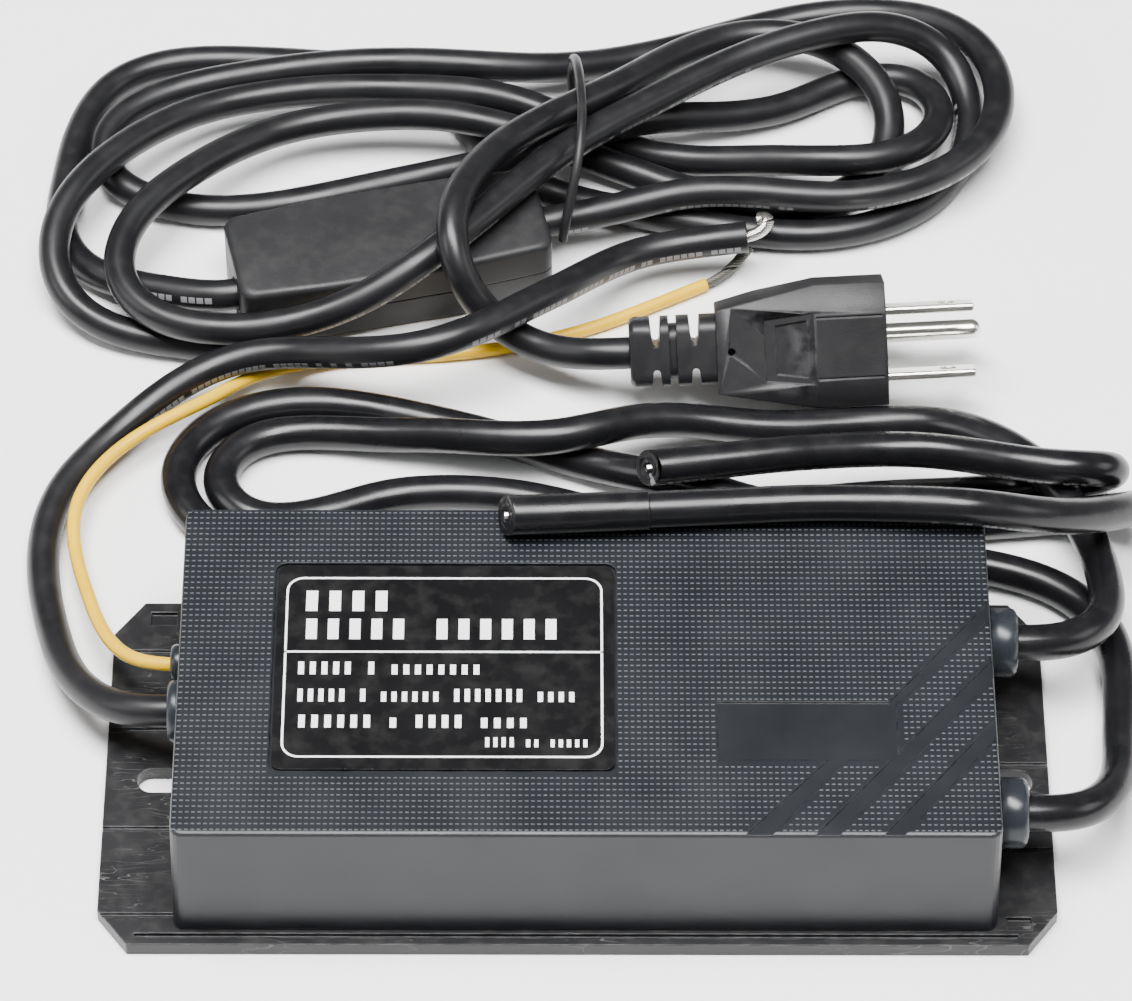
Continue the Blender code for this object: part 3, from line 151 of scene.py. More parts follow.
FRONT_CABLE = (
    (66, -20, 17), (78, -20, 17), (91.5, -19.6, 15.8), (99, -8, 9.8), (99.5, 5.5, 6),
    (101, 19.5, 4.4), (100, 33.5, 3.8), (90.5, 44, 3.4), (77, 48.5, 3.4), (63, 50.5, 3.4),
    (49, 50.5, 3.4), (35.5, 50.5, 3.4), (21.5, 50.5, 3.4), (7.5, 50, 3.4), (-6, 49.5, 3.4),
    (-20, 49, 3.4), (-33.5, 48.5, 3.4), (-47, 48.5, 3.4), (-60.5, 51, 3.4), (-73, 58, 3.4),
    (-78, 71.5, 3.4), (-70.5, 84, 3.4), (-56.5, 89, 3.4), (-43, 88, 3.4), (-29.5, 84.5, 3.4),
    (-16.5, 80.5, 3.4), (-3.5, 75.5, 3.4), (9, 70.5, 4.6), (20, 64, 9.8), (32, 57, 11.2),
    (45.5, 57, 7.2), (59.5, 58, 4.2), (73.5, 58.5, 3.4), (87.5, 60, 3.4), (103.5, 60.5, 5.2),
    (106.5, 54, 14.4), (96, 44.5, 22.6), (85, 37.5, 31), (73, 34.8, 37.2), (57, 37, 35.2),
    (43, 37.5, 35), (29, 36.5, 35), (15, 35.5, 35.2), (1, 34.5, 35.4), (-13, 33.5, 35.8),
)
TIE_ROUTE = (
    (-2.6, 126.8, 8.6), (-2.2, 127.4, 12.2), (-1.0, 131.0, 16.6), (0.2, 135.0, 21.2),
    (1.0, 141.0, 24.2), (1.2, 148.0, 24.6), (0.8, 155.0, 24.6), (0.2, 161.5, 22.6),
    (-0.4, 167.0, 18.8), (-0.8, 170.2, 14.0), (-0.8, 170.0, 9.0), (-0.8, 169.0, 4.0),
)

# The hook of the input lead's bare wires, as steps from the end of its jacket
WIRE_HOOK = (
    (-0.5, 0, 0), (1.2, 0.3, 0.3), (3.0, 1.0, 0.7), (4.3, 2.8, 0.9), (4.2, 4.7, 0.4),
    (2.6, 5.2, -0.4),
)


class NodeBench:
    """Adds nodes to one tree and links them."""

    def __init__(self, tree: bpy.types.NodeTree) -> None:
        """Keep the tree to work on."""
        self.tree = tree

    def add(self, kind: str, inputs: dict[Any, Any] | None = None, **settings: Any) -> bpy.types.Node:
        """Add a node.

        Args:
            kind: Blender's type name of the node.
            inputs: For each input socket, by name or index, a value or a socket to link.
            settings: The node's own properties.

        Returns:
            The new node.
        """
        node = self.tree.nodes.new(kind)
        for key, value in settings.items():
            setattr(node, key, value)
        for key, value in (inputs or {}).items():
            if isinstance(value, bpy.types.NodeSocket):
                self.tree.links.new(value, node.inputs[key])
            else:
                node.inputs[key].default_value = value
        return node

    def maths(self, operation: str, first: Any, second: Any = 0.0) -> bpy.types.NodeSocket:
        """Return the result of a Math node on two values or sockets."""
        return self.add("ShaderNodeMath", {0: first, 1: second}, operation=operation).outputs[0]

    def blend(self, share: Any, first: Any, second: Any) -> bpy.types.NodeSocket:
        """Return a colour mixed from the first to the second by the share."""
        mix = self.add("ShaderNodeMix", {0: share, 6: first, 7: second}, data_type="RGBA")
        return mix.outputs[2]

    def spread(self, value: Any, given: Plan, wanted: Plan = (0.0, 1.0)) -> bpy.types.NodeSocket:
        """Return the value mapped and clamped from the given range to the wanted one."""
        inputs = {
            "Value": value,
            "From Min": given[0],
            "From Max": given[1],
            "To Min": wanted[0],
            "To Max": wanted[1],
        }
        return self.add("ShaderNodeMapRange", inputs).outputs[0]

    def noise(self, place: Any, scale: Any, detail: float) -> bpy.types.NodeSocket:
        """Return a noise texture's value."""
        inputs = {"Vector": place, "Scale": scale, "Detail": detail}
        return self.add("ShaderNodeTexNoise", inputs).outputs[0]

    def surface(self, space: str) -> bpy.types.NodeSocket:
        """Return the surface's place in one of its spaces, such as Object or UV."""
        return self.add("ShaderNodeTexCoord").outputs[space]

    def vector(self, operation: str, first: Any, second: Any) -> bpy.types.Node:
        """Return a Vector Math node on two vectors."""
        return self.add("ShaderNodeVectorMath", {0: first, 1: second}, operation=operation)

    def scaled(self, direction: Any, scale: Any) -> bpy.types.NodeSocket:
        """Return a vector times a value."""
        inputs = {0: direction, "Scale": scale}
        return self.add("ShaderNodeVectorMath", inputs, operation="SCALE").outputs[0]


class Effect(Enum):
    """The surface effects that several finishes share, each a shader node group."""

    GRAIN = "moulded_grain"
    EDGES = "rubbed_edges"
    DUST = "settled_dust"
    SCRATCHES = "handling_scratches"
    JACKET = "drawn_jacket"
    MARKS = "jacket_marks"


@dataclass
class EffectShelf:
    """Builds each shared effect's node group once; a range is where an effect fades in."""

    patch_range: Plan = (0.3, 0.7)
    edge_facing: Plan = (0.985, 0.86)
    edge_breaks: Plan = (0.38, 0.62)
    dust_slope: Plan = (0.2, 1.0)
    dust_specks: Plan = (0.45, 0.75)
    scratch_lays: tuple[tuple[float, Place], ...] = ((0.35, (1.0, 9.0, 4.0)), (-1.1, (1.4, 12.0, 5.0)))
    scratch_area_scale: float = 45.0
    scratch_area: Plan = (0.5, 0.62)
    line_stretch: Place = (1.0, 3.0, 1.0)
    line_share: float = 0.35
    jacket_patches: Plan = (0.35, 0.65)
    mark_gap: float = 0.2
    word_cells: float = 9.0
    missing_marks: float = 0.16
    missing_words: float = 0.3
    built: dict[Effect, bpy.types.NodeTree] = field(default_factory=dict)

    def group(self, effect: Effect) -> bpy.types.NodeTree:
        """Return the effect's node group, built on first use."""
        if effect not in self.built:
            makers = {
                Effect.GRAIN: self.moulded_grain,
                Effect.EDGES: self.rubbed_edges,
                Effect.DUST: self.settled_dust,
                Effect.SCRATCHES: self.handling_scratches,
                Effect.JACKET: self.drawn_jacket,
                Effect.MARKS: self.jacket_marks,
            }
            self.built[effect] = makers[effect](effect.value)
        return self.built[effect]

    def start(
        self, name: str, inputs: dict[str, float], outputs: Sequence[str]
    ) -> tuple[NodeBench, dict[str, bpy.types.NodeSocket], bpy.types.Node]:
        """Begin a group.

        Args:
            name: The group's name.
            inputs: Its value inputs and their defaults.
            outputs: Its outputs; one whose name ends in Normal is a vector.

        Returns:
            The bench, the group's given values by name, and its output node.
        """
        tree = bpy.data.node_groups.new(name, "ShaderNodeTree")
        for label, value in inputs.items():
            socket = tree.interface.new_socket(label, in_out="INPUT", socket_type="NodeSocketFloat")
            socket.default_value = value
        for label in outputs:
            kind = "NodeSocketVector" if label.endswith("Normal") else "NodeSocketFloat"
            tree.interface.new_socket(label, in_out="OUTPUT", socket_type=kind)
        bench = NodeBench(tree)
        given = bench.add("NodeGroupInput").outputs
        return bench, {label: given[label] for label in inputs}, bench.add("NodeGroupOutput")

    def moulded_grain(self, name: str) -> bpy.types.NodeTree:
        """Return fine spark-eroded grain with slow patches of gloss."""
        inputs = {"Scale": 2500.0, "Patch Scale": 60.0}
        bench, given, out = self.start(name, inputs, ("Height", "Patches"))
        place = bench.surface("Object")
        fine = bench.noise(place, given["Scale"], 3.0)
        slow = bench.noise(place, given["Patch Scale"], 4.0)
        bench.tree.links.new(fine, out.inputs["Height"])
        bench.tree.links.new(bench.spread(slow, self.patch_range), out.inputs["Patches"])
        return bench.tree

    def rubbed_edges(self, name: str) -> bpy.types.NodeTree:
        """Return a mask of the edges that handling rubs, and a normal that rounds them."""
        inputs = {"Width": 0.0005, "Breaks": 400.0}
        bench, given, out = self.start(name, inputs, ("Mask", "Rounded Normal"))
        rounded = bench.add("ShaderNodeBevel", {"Radius": given["Width"]}, samples=4).outputs[0]
        flat = bench.add("ShaderNodeNewGeometry").outputs["True Normal"]
        facing = bench.vector("DOT_PRODUCT", rounded, flat).outputs["Value"]
        breaks = bench.noise(bench.surface("Object"), given["Breaks"], 3.0)
        edge = bench.spread(facing, self.edge_facing)
        broken = bench.maths("MULTIPLY", edge, bench.spread(breaks, self.edge_breaks))
        bench.tree.links.new(broken, out.inputs["Mask"])
        bench.tree.links.new(rounded, out.inputs["Rounded Normal"])
        return bench.tree

    def settled_dust(self, name: str) -> bpy.types.NodeTree:
        """Return a mask of the fine dust that lies on faces that look up."""
        bench, given, out = self.start(name, {"Scale": 300.0}, ("Mask",))
        normal = bench.add("ShaderNodeNewGeometry").outputs["Normal"]
        upward = bench.add("ShaderNodeSeparateXYZ", {0: normal}).outputs["Z"]
        specks = bench.noise(bench.surface("Object"), given["Scale"], 6.0)
        lying = bench.spread(upward, self.dust_slope)
        mask = bench.maths("MULTIPLY", lying, bench.spread(specks, self.dust_specks))
        bench.tree.links.new(mask, out.inputs["Mask"])
        return bench.tree

    def handling_scratches(self, name: str) -> bpy.types.NodeTree:
        """Return a mask of thin scratches that run two ways."""
        inputs = {"Scale": 60.0, "Fineness": 0.006}
        bench, given, out = self.start(name, inputs, ("Mask",))
        place = bench.surface("Object")
        masks = []
        for turn, stretch in self.scratch_lays:
            lay = {"Vector": place, "Rotation": (0.0, 0.0, turn), "Scale": stretch}
            laid = bench.add("ShaderNodeMapping", lay).outputs[0]
            lines = bench.noise(laid, given["Scale"], 1.0)
            away = bench.maths("ABSOLUTE", bench.maths("SUBTRACT", lines, 0.5))
            masks.append(bench.maths("LESS_THAN", away, given["Fineness"]))
        where = bench.noise(place, self.scratch_area_scale, 2.0)
        both = bench.maths("MAXIMUM", *masks)
        mask = bench.maths("MULTIPLY", both, bench.spread(where, self.scratch_area))
        bench.tree.links.new(mask, out.inputs["Mask"])
        return bench.tree

    def drawn_jacket(self, name: str) -> bpy.types.NodeTree:
        """Return the slow waves and fine drawing lines of an extruded jacket."""
        inputs = {"Waves": 90.0, "Lines": 14.0}
        bench, given, out = self.start(name, inputs, ("Height", "Patches"))
        lay = {"Vector": bench.surface("UV"), "Scale": self.line_stretch}
        laid = bench.add("ShaderNodeMapping", lay).outputs[0]
        lines = bench.noise(laid, given["Lines"], 3.0)
        waves = bench.noise(bench.surface("Object"), given["Waves"], 2.0)
        height = bench.maths("ADD", bench.maths("MULTIPLY", lines, self.line_share), waves)
        bench.tree.links.new(height, out.inputs["Height"])
        bench.tree.links.new(bench.spread(waves, self.jacket_patches), out.inputs["Patches"])
        return bench.tree

    def jacket_marks(self, name: str) -> bpy.types.NodeTree:
        """Return a row of small plain blocks along the jacket, in broken groups."""
        inputs = {"Pitch": 0.0024, "Middle": 0.3, "Half Width": 0.05}
        bench, given, out = self.start(name, inputs, ("Mask",))
        unrolled = bench.add("ShaderNodeSeparateXYZ", {0: bench.surface("UV")}).outputs
        steps = bench.maths("DIVIDE", unrolled["Y"], given["Pitch"])
        cell = bench.maths("FLOOR", steps)
        block = bench.maths("GREATER_THAN", bench.maths("FRACT", steps), self.mark_gap)
        word = bench.maths("FLOOR", bench.maths("DIVIDE", cell, self.word_cells))
        kept = self.chance(bench, cell, self.missing_marks)
        shown = self.chance(bench, word, self.missing_words)
        offset = bench.maths("ABSOLUTE", bench.maths("SUBTRACT", unrolled["X"], given["Middle"]))
        band = bench.maths("LESS_THAN", offset, given["Half Width"])
        printed = bench.maths("MULTIPLY", bench.maths("MULTIPLY", block, kept), shown)
        bench.tree.links.new(bench.maths("MULTIPLY", printed, band), out.inputs["Mask"])
        return bench.tree

    def chance(self, bench: NodeBench, number: Any, missing: float) -> bpy.types.NodeSocket:
        """Return one for each whole number, apart from the missing share of them."""
        drawn = bench.add("ShaderNodeTexWhiteNoise", {"W": number}, noise_dimensions="1D")
        return bench.maths("GREATER_THAN", drawn.outputs["Value"], missing)


@dataclass(frozen=True)
class Finish:
    """One finish: its shader constants and how strongly each shared effect shows.

    Grain depth, edge width and wave height are in millimetres.
    """

    name: str
    colour: Colour
    roughness: float
    metallic: float = 0.0
    specular: float = 0.34
    coat: float = 0.0
    grain_scale: float = 2600.0
    grain_depth: float = 0.01
    patch_scale: float = 70.0
    patchiness: float = 0.05
    edge_width: float = 0.4
    wear: float = 0.25
    wear_colour: Colour = (0.16, 0.16, 0.17)
    dust: float = 0.03
    dust_colour: Colour = (0.30, 0.29, 0.27)
    scratches: float = 0.0
    scratch_colour: Colour = (0.22, 0.22, 0.22)
    coat_roughness: float = 0.12
    patch_share: float = 0.5
    patch_gain: float = 1.25
    least_roughness: float = 0.04

    def material(self, shelf: EffectShelf) -> bpy.types.Material:
        """Return the finish as a material, made on first use."""
        made = bpy.data.materials.get(self.name)
        if made is not None and made.get("finished"):
            return made
        made = bpy.data.materials.new(self.name)
        made["finished"] = True
        made.use_nodes = True
        made.diffuse_color = (*self.colour, 1.0)
        bench = NodeBench(made.node_tree)
        shader = made.node_tree.nodes["Principled BSDF"]
        shader.inputs["Metallic"].default_value = self.metallic
        shader.inputs["Specular IOR Level"].default_value = self.specular
        shader.inputs["Coat Weight"].default_value = self.coat
        shader.inputs["Coat Roughness"].default_value = self.coat_roughness
        self.dress(bench, shader, shelf)
        return made

    def dress(self, bench: NodeBench, shader: bpy.types.Node, shelf: EffectShelf) -> None:
        """Feed the shader's colour, roughness and normal from the shared effects."""
        grain = self.texture(bench, shelf)
        edges = bench.add(
            "ShaderNodeGroup", {"Width": self.edge_width * MM}, node_tree=shelf.group(Effect.EDGES)
        )
        dust = bench.add("ShaderNodeGroup", node_tree=shelf.group(Effect.DUST))
        tint = bench.blend(
            bench.maths("MULTIPLY", grain.outputs["Patches"], self.patch_share),
            (*self.colour, 1.0),
            (*(channel * self.patch_gain for channel in self.colour), 1.0),
        )
        tint = self.printed(bench, shelf, tint)
        worn = bench.blend(
            bench.maths("MULTIPLY", edges.outputs["Mask"], self.wear), tint, (*self.wear_colour, 1.0)
        )
        if self.scratches:
            scratches = bench.add("ShaderNodeGroup", node_tree=shelf.group(Effect.SCRATCHES))
            share = bench.maths("MULTIPLY", scratches.outputs["Mask"], self.scratches)
            worn = bench.blend(share, worn, (*self.scratch_colour, 1.0))
        dusty = bench.blend(
            bench.maths("MULTIPLY", dust.outputs["Mask"], self.dust), worn, (*self.dust_colour, 1.0)
        )
        low = max(self.roughness - self.patchiness, self.least_roughness)
        high = self.roughness + self.patchiness
        rough = bench.spread(grain.outputs["Patches"], (0.0, 1.0), (low, high))
        bump = bench.add(
            "ShaderNodeBump",
            {
                "Height": grain.outputs["Height"],
                "Distance": self.grain_depth * MM,
                "Normal": edges.outputs["Rounded Normal"],
            },
        )
        bench.tree.links.new(dusty, shader.inputs["Base Color"])
        bench.tree.links.new(rough, shader.inputs["Roughness"])
        bench.tree.links.new(bump.outputs[0], shader.inputs["Normal"])

    def texture(self, bench: NodeBench, shelf: EffectShelf) -> bpy.types.Node:
        """Return the node whose Height and Patches the finish uses."""
        inputs = {"Scale": self.grain_scale, "Patch Scale": self.patch_scale}
        return bench.add("ShaderNodeGroup", inputs, node_tree=shelf.group(Effect.GRAIN))

    def printed(self, bench: NodeBench, shelf: EffectShelf, tint: Any) -> Any:
        """Return the colour with anything printed on it; nothing is, here."""
        return tint


@dataclass(frozen=True)
class JacketFinish(Finish):
    """A drawn cable jacket, whose pattern follows the cable and may carry pale block marks."""

    marks: float = 0.0
    mark_colour: Colour = (0.34, 0.34, 0.35)
    mark_pitch: float = 1.55
    mark_middle: float = 0.3
    mark_half_width: float = 0.032

    def texture(self, bench: NodeBench, shelf: EffectShelf) -> bpy.types.Node:
        """Return the jacket's own waves and drawing lines."""
        return bench.add("ShaderNodeGroup", node_tree=shelf.group(Effect.JACKET))

    def printed(self, bench: NodeBench, shelf: EffectShelf, tint: Any) -> Any:
        """Return the colour with the jacket's marks."""
        if not self.marks:
            return tint
        inputs = {
            "Pitch": self.mark_pitch * MM,
            "Middle": self.mark_middle,
            "Half Width": self.mark_half_width,
        }
        marks = bench.add("ShaderNodeGroup", inputs, node_tree=shelf.group(Effect.MARKS))
        share = bench.maths("MULTIPLY", marks.outputs["Mask"], self.marks)
        return bench.blend(share, tint, (*self.mark_colour, 1.0))


HOUSING_PLASTIC = Finish(
    "housing_plastic", (0.005, 0.006, 0.008), 0.38, grain_depth=0.01, wear=0.2, dust=0.0
)
# The ribs' grey is far lighter than the housing's black: a painted highlight on the rib crowns, standing in
# for the light that they catch
RIB_PLASTIC_PAINTED_HIGHLIGHT = Finish(
    "rib_plastic_painted_highlight", (0.060, 0.065, 0.074), 0.42, grain_depth=0.004, dust=0.1, edge_width=0.08
)
PLATE_PAINT = Finish(
    "base_metal",
    (0.009, 0.009, 0.010),
    0.34,
    grain_scale=1500.0,
    wear=0.5,
    wear_colour=(0.20, 0.20, 0.21),
    scratches=0.35,
    dust=0.05,
)
LABEL_FILM = Finish(
    "label_film", (0.003, 0.003, 0.0035), 0.26, grain_depth=0.002, edge_width=0.1, dust=0.03
)
LABEL_INK = Finish(
    "label_ink", (0.83, 0.83, 0.84), 0.42, grain_depth=0.001, wear=0.0, edge_width=0.05, dust=0.0
)
BUSHING_PLASTIC = Finish(
    "bushing_plastic", (0.014, 0.017, 0.021), 0.28, grain_depth=0.004, dust=0.02
)
CORD_JACKET = JacketFinish(
    "cord_jacket", (0.006, 0.006, 0.007), 0.36, grain_depth=0.10, wear=0.0, marks=0.45, dust=0.02
)
CABLE_JACKET = JacketFinish(
    "cable_jacket", (0.005, 0.005, 0.006), 0.28, grain_depth=0.14, wear=0.0, marks=0.5, dust=0.02
)
SLEEVE_JACKET = JacketFinish(
    "sleeve_jacket", (0.005, 0.005, 0.006), 0.28, grain_depth=0.10, dust=0.02
)
CUT_RUBBER = Finish(
    "cut_rubber", (0.050, 0.045, 0.038), 0.62, grain_scale=4200.0, grain_depth=0.05
)
GROUND_JACKET = JacketFinish(
    "ground_jacket", (0.66, 0.39, 0.0), 0.36, grain_depth=0.05, wear=0.0, dust=0.02, patchiness=0.04
)
MOULDED_BLACK = Finish(
    "moulded_black", (0.012, 0.012, 0.013), 0.46, grain_depth=0.03, edge_width=0.4, wear=0.2, dust=0.03
)
RELIEF_BLACK = Finish(
    "relief_black", (0.010, 0.010, 0.011), 0.42, grain_depth=0.02, wear=0.1, dust=0.03
)
TIE_BLACK = Finish("tie_black", (0.008, 0.008, 0.009), 0.40, grain_depth=0.01, wear=0.0)
BLADE_NICKEL = Finish(
    "blade_nickel",
    (0.80, 0.78, 0.73),
    0.20,
    metallic=1.0,
    grain_scale=900.0,
    wear=0.0,
    scratches=0.35,
    scratch_colour=(0.35, 0.33, 0.30),
    dust=0.0,
)
TINNED_WIRE = Finish(
    "tinned_wire", (0.62, 0.60, 0.56), 0.28, metallic=1.0, grain_depth=0.004, wear=0.0, edge_width=0.05
)
OLD_STRANDS = Finish(
    "old_strands", (0.10, 0.095, 0.085), 0.32, metallic=0.6, grain_depth=0.01, wear=0.0, edge_width=0.05
)
SCREW_STEEL = Finish(
    "screw_steel", (0.50, 0.50, 0.52), 0.30, metallic=1.0, wear_colour=(0.7, 0.7, 0.7)
)
CONTACT_BRASS = Finish(
    "contact_brass", (0.72, 0.52, 0.20), 0.28, metallic=1.0, wear_colour=(0.8, 0.65, 0.35)
)
BOARD_LAMINATE = Finish("board_laminate", (0.03, 0.13, 0.05), 0.42, patch_scale=400.0, wear=0.1)
FERRITE = Finish("ferrite", (0.045, 0.043, 0.045), 0.70, grain_depth=0.04)
BOBBIN_PLASTIC = Finish("bobbin_plastic", (0.10, 0.09, 0.08), 0.48)
WINDING_COPPER = Finish(
    "winding_copper", (0.58, 0.23, 0.10), 0.34, metallic=1.0, wear_colour=(0.7, 0.35, 0.2)
)
FIN_ALUMINIUM = Finish(
    "fin_aluminium", (0.62, 0.63, 0.65), 0.38, metallic=1.0, wear_colour=(0.8, 0.8, 0.8)
)
COMPONENT_EPOXY = Finish("component_epoxy", (0.020, 0.020, 0.022), 0.58, grain_depth=0.03)
CAPACITOR_SLEEVE = Finish("capacitor_sleeve", (0.05, 0.08, 0.20), 0.36, wear=0.1)
FILM_EPOXY = Finish("film_epoxy", (0.45, 0.10, 0.05), 0.36, wear=0.1)
FUSE_GLASS = Finish("fuse_glass", (0.75, 0.80, 0.80), 0.10, wear=0.0, dust=0.0)
TERMINAL_GREEN = Finish("terminal_green", (0.03, 0.25, 0.10), 0.42)

# The finish of each material slot in the record
SLOT_FINISHES = {
    "housing_plastic": HOUSING_PLASTIC,
    "base_metal": PLATE_PAINT,
    "label_film": LABEL_FILM,
    "bushing_plastic": BUSHING_PLASTIC,
    "cable_jacket": CABLE_JACKET,
    "ground_jacket": GROUND_JACKET,
    "moulded_black": MOULDED_BLACK,
    "blade_nickel": BLADE_NICKEL,
    "tinned_wire": TINNED_WIRE,
    "screw_steel": SCREW_STEEL,
    "contact_brass": CONTACT_BRASS,
    "board_laminate": BOARD_LAMINATE,
    "ferrite": FERRITE,
    "bobbin_plastic": BOBBIN_PLASTIC,
    "winding_copper": WINDING_COPPER,
    "fin_aluminium": FIN_ALUMINIUM,
    "component_epoxy": COMPONENT_EPOXY,
    "capacitor_sleeve": CAPACITOR_SLEEVE,
    "film_epoxy": FILM_EPOXY,
    "fuse_glass": FUSE_GLASS,
    "terminal_green": TERMINAL_GREEN,
}


def smooth_route(controls: Sequence[Place], steps: int = 10) -> list[Vector]:
    """Follow the cubic B-spline that starts and ends at the end controls.

    Args:
        controls: The route's points, in millimetres.
        steps: How many points each control's stretch gives.

    Returns:
        Close points along the curve, in metres.
    """
    knots = [Vector(point) * MM for point in controls]
    knots.insert(0, 2 * knots[0] - knots[1])
    knots.append(2 * knots[-1] - knots[-2])
    points = []
    for i in range(len(knots) - 3):
        for step in range(steps):
            u = step / steps
            weights = (
                (1 - u) ** 3 / 6,
                (3 * u**3 - 6 * u**2 + 4) / 6,
                (-3 * u**3 + 3 * u**2 + 3 * u + 1) / 6,
                u**3 / 6,
            )
            total = Vector((0.0, 0.0, 0.0))
            for weight, knot in zip(weights, knots[i : i + 4]):
                total += weight * knot
            points.append(total)
    points.append(knots[-2])
    return points


def split_route(points: list[Vector], tail: float) -> tuple[list[Vector], list[Vector]]:
    """Part a line at the place that lies the tail's length from its end."""
    left = tail
    for i in range(len(points) - 1, 0, -1):
        step = (points[i] - points[i - 1]).length
        if step > left:
            place = points[i].lerp(points[i - 1], left / step)
            return [*points[:i], place], [place, *points[i:]]
        left -= step
    return points[:1], points


def round_rectangle(low: Plan, high: Plan, radius: float, steps: int) -> list[Plan]:
    """Return a rectangle's outline with round corners, anticlockwise.

    Args:
        low: The rectangle's lowest corner.
        high: Its highest corner.
        radius: The radius of its corners.
        steps: How many lines each corner's arc has.

    Returns:
        The outline's points.
    """
    centres = (
        (high[0] - radius, high[1] - radius),
        (low[0] + radius, high[1] - radius),
        (low[0] + radius, low[1] + radius),
        (high[0] - radius, low[1] + radius),
    )
    outline = []
    for quarter, (x, y) in enumerate(centres):
        for step in range(steps + 1):
            angle = pi / 2 * (quarter + step / steps)
            outline.append((x + radius * cos(angle), y + radius * sin(angle)))
    return outline


@dataclass
class Ring:
    """One ring of a swept or turned skin."""

    centre: Vector
    across: Vector
    up: Vector
    radius: float
    along: float
    surface: int = 0
    lean: Vector | None = None


class Skin:
    """A closed round skin made of rings, with its UV map around and along."""

    # Where round the jacket the flat ends read the pattern, clear of its marks
    cap_share = 0.02

    def __init__(self, name: str, sides: int) -> None:
        """Start with no ring."""
        self.name = name
        self.sides = sides
        self.rings: list[Ring] = []

    def follow(self, points: Sequence[Vector], radius: float) -> None:
        """Add a ring at each point, turned without twist along the line."""
        across = Vector((0.0, 0.0, 1.0))
        travelled = 0.0
        last = len(points) - 1
        for i, point in enumerate(points):
            along = (points[min(i + 1, last)] - points[max(i - 1, 0)]).normalized()
            across = (across - along * across.dot(along)).normalized()
            if i:
                travelled += (point - points[i - 1]).length
            self.rings.append(Ring(point, across, along.cross(across), radius, travelled))

    def shape_end(self, profile: Sequence[Plan], surface: int, lean: Vector | None = None) -> None:
        """Close the far end with a profile.

        Args:
            profile: Radius and advance past the last ring for each new ring, in metres.
            surface: The material slot of the faces that lead to these rings.
            lean: The side to which the cut slopes back, and by how much for each unit of radius.
        """
        last = self.rings[-1]
        last.lean = lean
        forward = last.across.cross(last.up)
        for radius, advance in profile:
            centre = last.centre + forward * advance
            self.rings.append(Ring(centre, last.across, last.up, radius, last.along, surface, lean))

    def turn(self, profile: Sequence[Plan], frame: Matrix) -> None:
        """Add rings about the frame's own Z for a turned piece's profile, foot to head."""
        across = (frame.to_3x3() @ Vector((1, 0, 0))).normalized()
        up = (frame.to_3x3() @ Vector((0, 1, 0))).normalized()
        for i, (radius, height) in enumerate(profile):
            centre = frame @ (Vector((0, 0, height)) * MM)
            self.rings.append(Ring(centre, across, up, radius * MM, i * MM))

    def mesh(self, looped: bool = False) -> bpy.types.Mesh:
        """Return the skin as a mesh, capped, or joined end to end when looped."""
        corners: list[Vector] = []
        for ring in self.rings:
            for side in range(self.sides):
                angle = 2 * pi * side / self.sides
                reach = ring.across * cos(angle) + ring.up * sin(angle)
                if ring.lean is not None:
                    reach -= ring.across.cross(ring.up) * reach.dot(ring.lean)
                corners.append(ring.centre + reach * ring.radius)
        faces: list[tuple[int, ...]] = []
        maps: list[tuple[Plan, ...]] = []
        slots: list[int] = []
        count = len(self.rings)
        for i in range(count if looped else count - 1):
            j = (i + 1) % count
            low, high = self.rings[i].along, self.rings[j].along
            for side in range(self.sides):
                beside = (side + 1) % self.sides
                faces.append(
                    (
                        i * self.sides + side,
                        i * self.sides + beside,
                        j * self.sides + beside,
                        j * self.sides + side,
                    )
                )
                u_low, u_high = side / self.sides, (side + 1) / self.sides
                maps.append(((u_low, low), (u_high, low), (u_high, high), (u_low, high)))
                slots.append(self.rings[j].surface)
        if not looped:
            first = tuple(range(self.sides))[::-1]
            last = tuple((count - 1) * self.sides + side for side in range(self.sides))
            for cap, ring in ((first, self.rings[0]), (last, self.rings[-1])):
                faces.append(cap)
                maps.append(tuple((self.cap_share, ring.along) for _ in cap))
                slots.append(ring.surface)
        made = bpy.data.meshes.new(self.name)
        made.from_pydata(corners, [], faces)
        made.polygons.foreach_set("material_index", slots)
        layer = made.uv_layers.new(name="around_and_along")
        layer.data.foreach_set("uv", [value for face in maps for corner in face for value in corner])
        made.shade_smooth()
        made.set_sharp_from_angle(angle=radians(TURNED_CREASE))
        made.update()
        return made


def loft(name: str, outlines: Sequence[Sequence[Vector]]) -> bpy.types.Mesh:
    """Close a solid over a stack of outlines.

    Args:
        name: The mesh's name.
        outlines: Outlines of equal length, anticlockwise as seen from the last one's side.

    Returns:
        The closed mesh.
    """
    count = len(outlines[0])
    corners = [corner for outline in outlines for corner in outline]
    faces: list[tuple[int, ...]] = [tuple(range(count))[::-1]]
    for level in range(len(outlines) - 1):
        for i in range(count):
            j = (i + 1) % count
            low, high = level * count, (level + 1) * count
            faces.append((low + i, low + j, high + j, high + i))
    top = (len(outlines) - 1) * count
    faces.append(tuple(range(top, top + count)))
    mesh = bpy.data.meshes.new(name)
    mesh.from_pydata(corners, [], faces)
    mesh.update()
    return mesh


